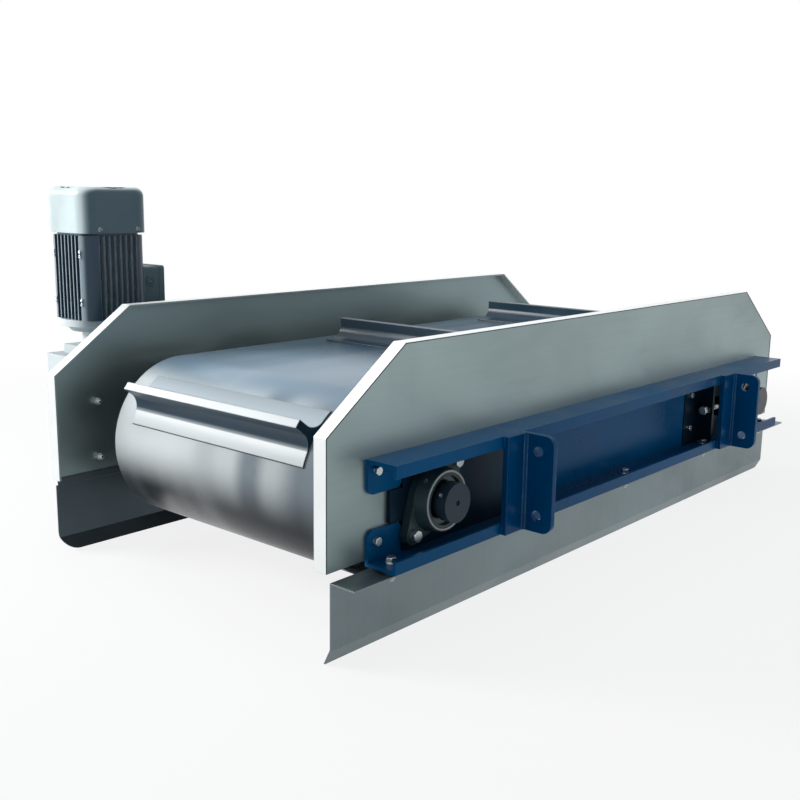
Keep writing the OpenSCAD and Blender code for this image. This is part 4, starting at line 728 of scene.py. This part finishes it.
def unit_rims(x, body, label):
    """The rounded rim round each bearing housing's mouth."""
    bm = bmesh.new()
    middle, half, height, root, steps, sides = 47.0, 2.6, 2.0, 1.0, 7, 72
    for s in (-1, 1):
        mouth = P(x, s * (UNIT_Y + UNIT_REACH), AXIS_Z)
        a, b, d = frame_of((0, s, 0))
        rings = []
        for k in range(steps + 1):
            t = math.pi * k / steps
            r, h = middle - half * math.cos(t), height * math.sin(t)
            rings.append(round_ring(bm, mouth + d * h / 1000, a, b, r / 1000, sides))
        rings.append(round_ring(bm, mouth - d * root / 1000, a, b, middle / 1000, sides))
        skin(bm, rings, closed=True)
    bmesh.ops.recalc_face_normals(bm, faces=bm.faces)
    new_piece(label, bm, "shaft_steel", body)


def sleeve_screws(label):
    """Socket set screws in the near locking collar and the far inner ring."""
    bm = bmesh.new()
    y, collar_r, ring_r = 428.0, 31.5, 26.4
    socket = ((-3, 3.8), (0.2, 3.8), (0.4, 3.4), (0.4, 2.2), (-1.6, 2.0))
    for s, r in ((-1, collar_r), (1, ring_r)):
        for degrees in (150, 270):
            out = Vector((math.cos(math.radians(degrees)), 0, math.sin(math.radians(degrees))))
            add_turned(bm, P(DRIVE_X + r * out.x, s * y, AXIS_Z + r * out.z), out, socket, 18)
    new_piece(label, bm, "shaft_steel", "drive_drum")


# Belt. Length of a straight run, and of a half turn along the outer face
RUN, HALF_TURN = TAIL_X - DRIVE_X, math.pi * BELT_OUT
LOOP = 2 * (RUN + HALF_TURN)


def belt_point(s, out):
    """X and Z on the loop: s runs from the drive drum's top rearwards, out is the distance from the axes."""
    s %= LOOP
    if s < RUN:
        return DRIVE_X + s, AXIS_Z + out
    if s < RUN + HALF_TURN:
        a = math.pi / 2 - (s - RUN) / BELT_OUT
        return TAIL_X + out * math.cos(a), AXIS_Z + out * math.sin(a)
    if s < 2 * RUN + HALF_TURN:
        return TAIL_X - (s - RUN - HALF_TURN), AXIS_Z - out
    a = 1.5 * math.pi - (s - 2 * RUN - HALF_TURN) / BELT_OUT
    return DRIVE_X + out * math.cos(a), AXIS_Z + out * math.sin(a)


def belt_skin():
    """The belt with rounded edges, a little wider towards the near side than the solid."""
    bm = bmesh.new()
    thick, r, cut, run_steps, turn_steps = BELT_OUT - BELT_IN, 2.0, 0.6, 24, 64
    outer = [(BELT_NEAR, r), (BELT_NEAR + cut, cut), (BELT_NEAR + r, 0),
             (BELT_FAR - r, 0), (BELT_FAR - cut, cut), (BELT_FAR, r)]
    section = outer + [(y, thick - inward) for y, inward in reversed(outer)]
    stops = [RUN * k / run_steps for k in range(run_steps)]
    stops += [RUN + HALF_TURN * k / turn_steps for k in range(turn_steps)]
    stops += [RUN + HALF_TURN + v for v in stops]
    rings = []
    for s in stops:
        ring = []
        for y, inward in section:
            x, z = belt_point(s, BELT_OUT - inward)
            ring.append(bm.verts.new(P(x, y, z)))
        rings.append(ring)
    skin(bm, rings, closed=True)
    bmesh.ops.recalc_face_normals(bm, faces=bm.faces)
    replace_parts(new_piece("belt_skin", bm, "belt_rubber", "frame"), "belt")


def foot_seams():
    """The dark glue line along both edges of each cleat's foot."""
    bm = bmesh.new()
    aside, above, bead = FOOT_HALF + 0.6, BELT_OUT + 0.3, 0.0011
    for k in range(CLEATS):
        for edge in (-aside, aside):
            x, z = belt_point(CLEAT_START + k * LOOP / CLEATS + edge, above)
            add_tube(bm, [P(x, CLEAT_NEAR, z), P(x, CLEAT_FAR, z)], bead, 6, taper=False)
    new_piece("foot_seams", bm, "plug_plastic", "frame")


# Plates
def fold_shade_lines():
    """A thin dark line where each fold of the side plates meets the outer face, a painted shade along the
    bend.
    """
    bm = bmesh.new()
    corners, bead = ((1.2, 0.5), (1.2, 203.6), (171.6, 324.0), (PLATE_LEN / 2, 324.0)), 0.0009
    for s in (-1, 1):
        for mirror in (False, True):
            line = [P(PLATE_LEN - x if mirror else x, s * PLATE_Y, z) for x, z in corners]
            add_tube(bm, line, bead, 6, taper=False)
    new_piece("fold_shade_lines", bm, "plug_plastic", "frame")


def far_sill():
    """A packing strip that closes the gap between the far plate and its skirt."""
    bm = bmesh.new()
    span_x, span_y, span_z, chamfer = (9, 1591), (366.0, 371.6), (-14.8, 0.4), 0.0012
    corners = [P(x, y, z) for x in span_x for y in span_y for z in span_z]
    bmesh.ops.convex_hull(bm, input=[bm.verts.new(c) for c in corners])
    bmesh.ops.bevel(bm, geom=list(bm.edges), offset=chamfer, segments=2, affect="EDGES")
    new_piece("far_sill", bm, "skirt_sheet", "frame", smooth=False)


# Motor and gear unit
def box_screws():
    """Four screws in the terminal box's lid."""
    bm = bmesh.new()
    lid_x, middle_z, half = 349.0, 338.0, 42
    head = ((-0.5, 4.2), (1.6, 4.2), (2.4, 3.4), (2.4, 1.8), (1.0, 1.7))
    for dy in (-half, half):
        for dz in (-half, half):
            add_turned(bm, P(lid_x, GEAR_Y + dy, middle_z + dz), TO_REAR, head, 20)
    new_piece("motor_screws", bm, "zinc", "frame")


def fan_cover_screws():
    """Two screws in the near and in the far side of the fan cover."""
    bm = bmesh.new()
    half_x, half_y, z = 44, 80.8, 468
    head = ((0, 4.3), (0.7, 4.0), (1.1, 3.0), (1.1, 1.5), (0.3, 1.4))
    for x in (DRIVE_X - half_x, DRIVE_X + half_x):
        for side in (TO_NEAR, TO_FAR):
            add_turned(bm, P(x, GEAR_Y + side.y * half_y, z), side, head, 20)
    new_piece("fan_cover_screws", bm, "shaft_steel", "frame")


def frame_clips():
    """Four small clips on the motor's front fins: two studs and the pin between them."""
    bm = bmesh.new()
    stud_x, pin_x, half_y, stud_dz, pin_length = DRIVE_X - 74.2, DRIVE_X - 74.6, 48, 4.6, 10
    levels = (321, 418)
    stud = ((0, 3.6), (1.4, 3.6), (2.0, 3.0), (2.0, 1.4), (1.2, 1.2))
    pin = ((0, 1.3), (pin_length, 1.3))
    for y in (GEAR_Y - half_y, GEAR_Y + half_y):
        for z in levels:
            for dz in (-stud_dz, stud_dz):
                add_turned(bm, P(stud_x, y, z + dz), TO_FRONT, stud, 16)
            add_turned(bm, P(pin_x, y, z - pin_length / 2), UP, pin, 8)
    new_piece("frame_clips", bm, "zinc", "frame")


def entry_plug():
    """The plug in the terminal box's cable entry."""
    bm = bmesh.new()
    entry = P(314, GEAR_Y - 51.0, 357.6)
    plug = ((-6, 7.9), (-0.7, 7.9), (-0.7, 7.0), (0.1, 6.6), (0.1, 3.0), (-0.5, 2.6))
    add_turned(bm, entry, TO_NEAR, plug, 30)
    new_piece("entry_plug", bm, "terminal_paint", "frame")


def gear_cover_screws():
    """Four socket screws near the corners of the gear housing's cover."""
    bm = bmesh.new()
    cover_y, inset, span_x, span_z = GEAR_Y + 75, 14, (132, 310), (-20, 207)
    head = ((-0.4, 6.3), (6.2, 6.3), (7.0, 5.6), (7.0, 3.4), (4.0, 3.2))
    for x in (span_x[0] + inset, span_x[1] - inset):
        for z in (span_z[0] + inset, span_z[1] - inset):
            add_turned(bm, P(x, cover_y, z), TO_FAR, head, 24)
    new_piece("gear_cover_screws", bm, "zinc", "frame")


bpy.context.scene.view_settings.view_transform = "Standard"
add_camera()
add_world()
for lamp in LAMPS:
    add_area(*lamp)
add_floor()
unit_bolts(DRIVE_X, "frame", "unit_bolts")
unit_bolts(TAIL_X, "tail_carriage", "slide_bolts")
frame_bolts()
take_up_screw(-1, "near_screw", "near_take_up_screw")
take_up_screw(1, "far_screw", "far_take_up_screw")
hanger_welds()
fold_corner_welds()
beam_welds()
hanger_fillets()
nipples(DRIVE_X, "frame", "drive_nipples")
nipples(TAIL_X, "tail_carriage", "tail_nipples")
unit_rims(DRIVE_X, "frame", "drive_rims")
unit_rims(TAIL_X, "tail_carriage", "tail_rims")
sleeve_screws("drive_sleeve_screws")
belt_skin()
foot_seams()
fold_shade_lines()
far_sill()
box_screws()
fan_cover_screws()
frame_clips()
entry_plug()
gear_cover_screws()
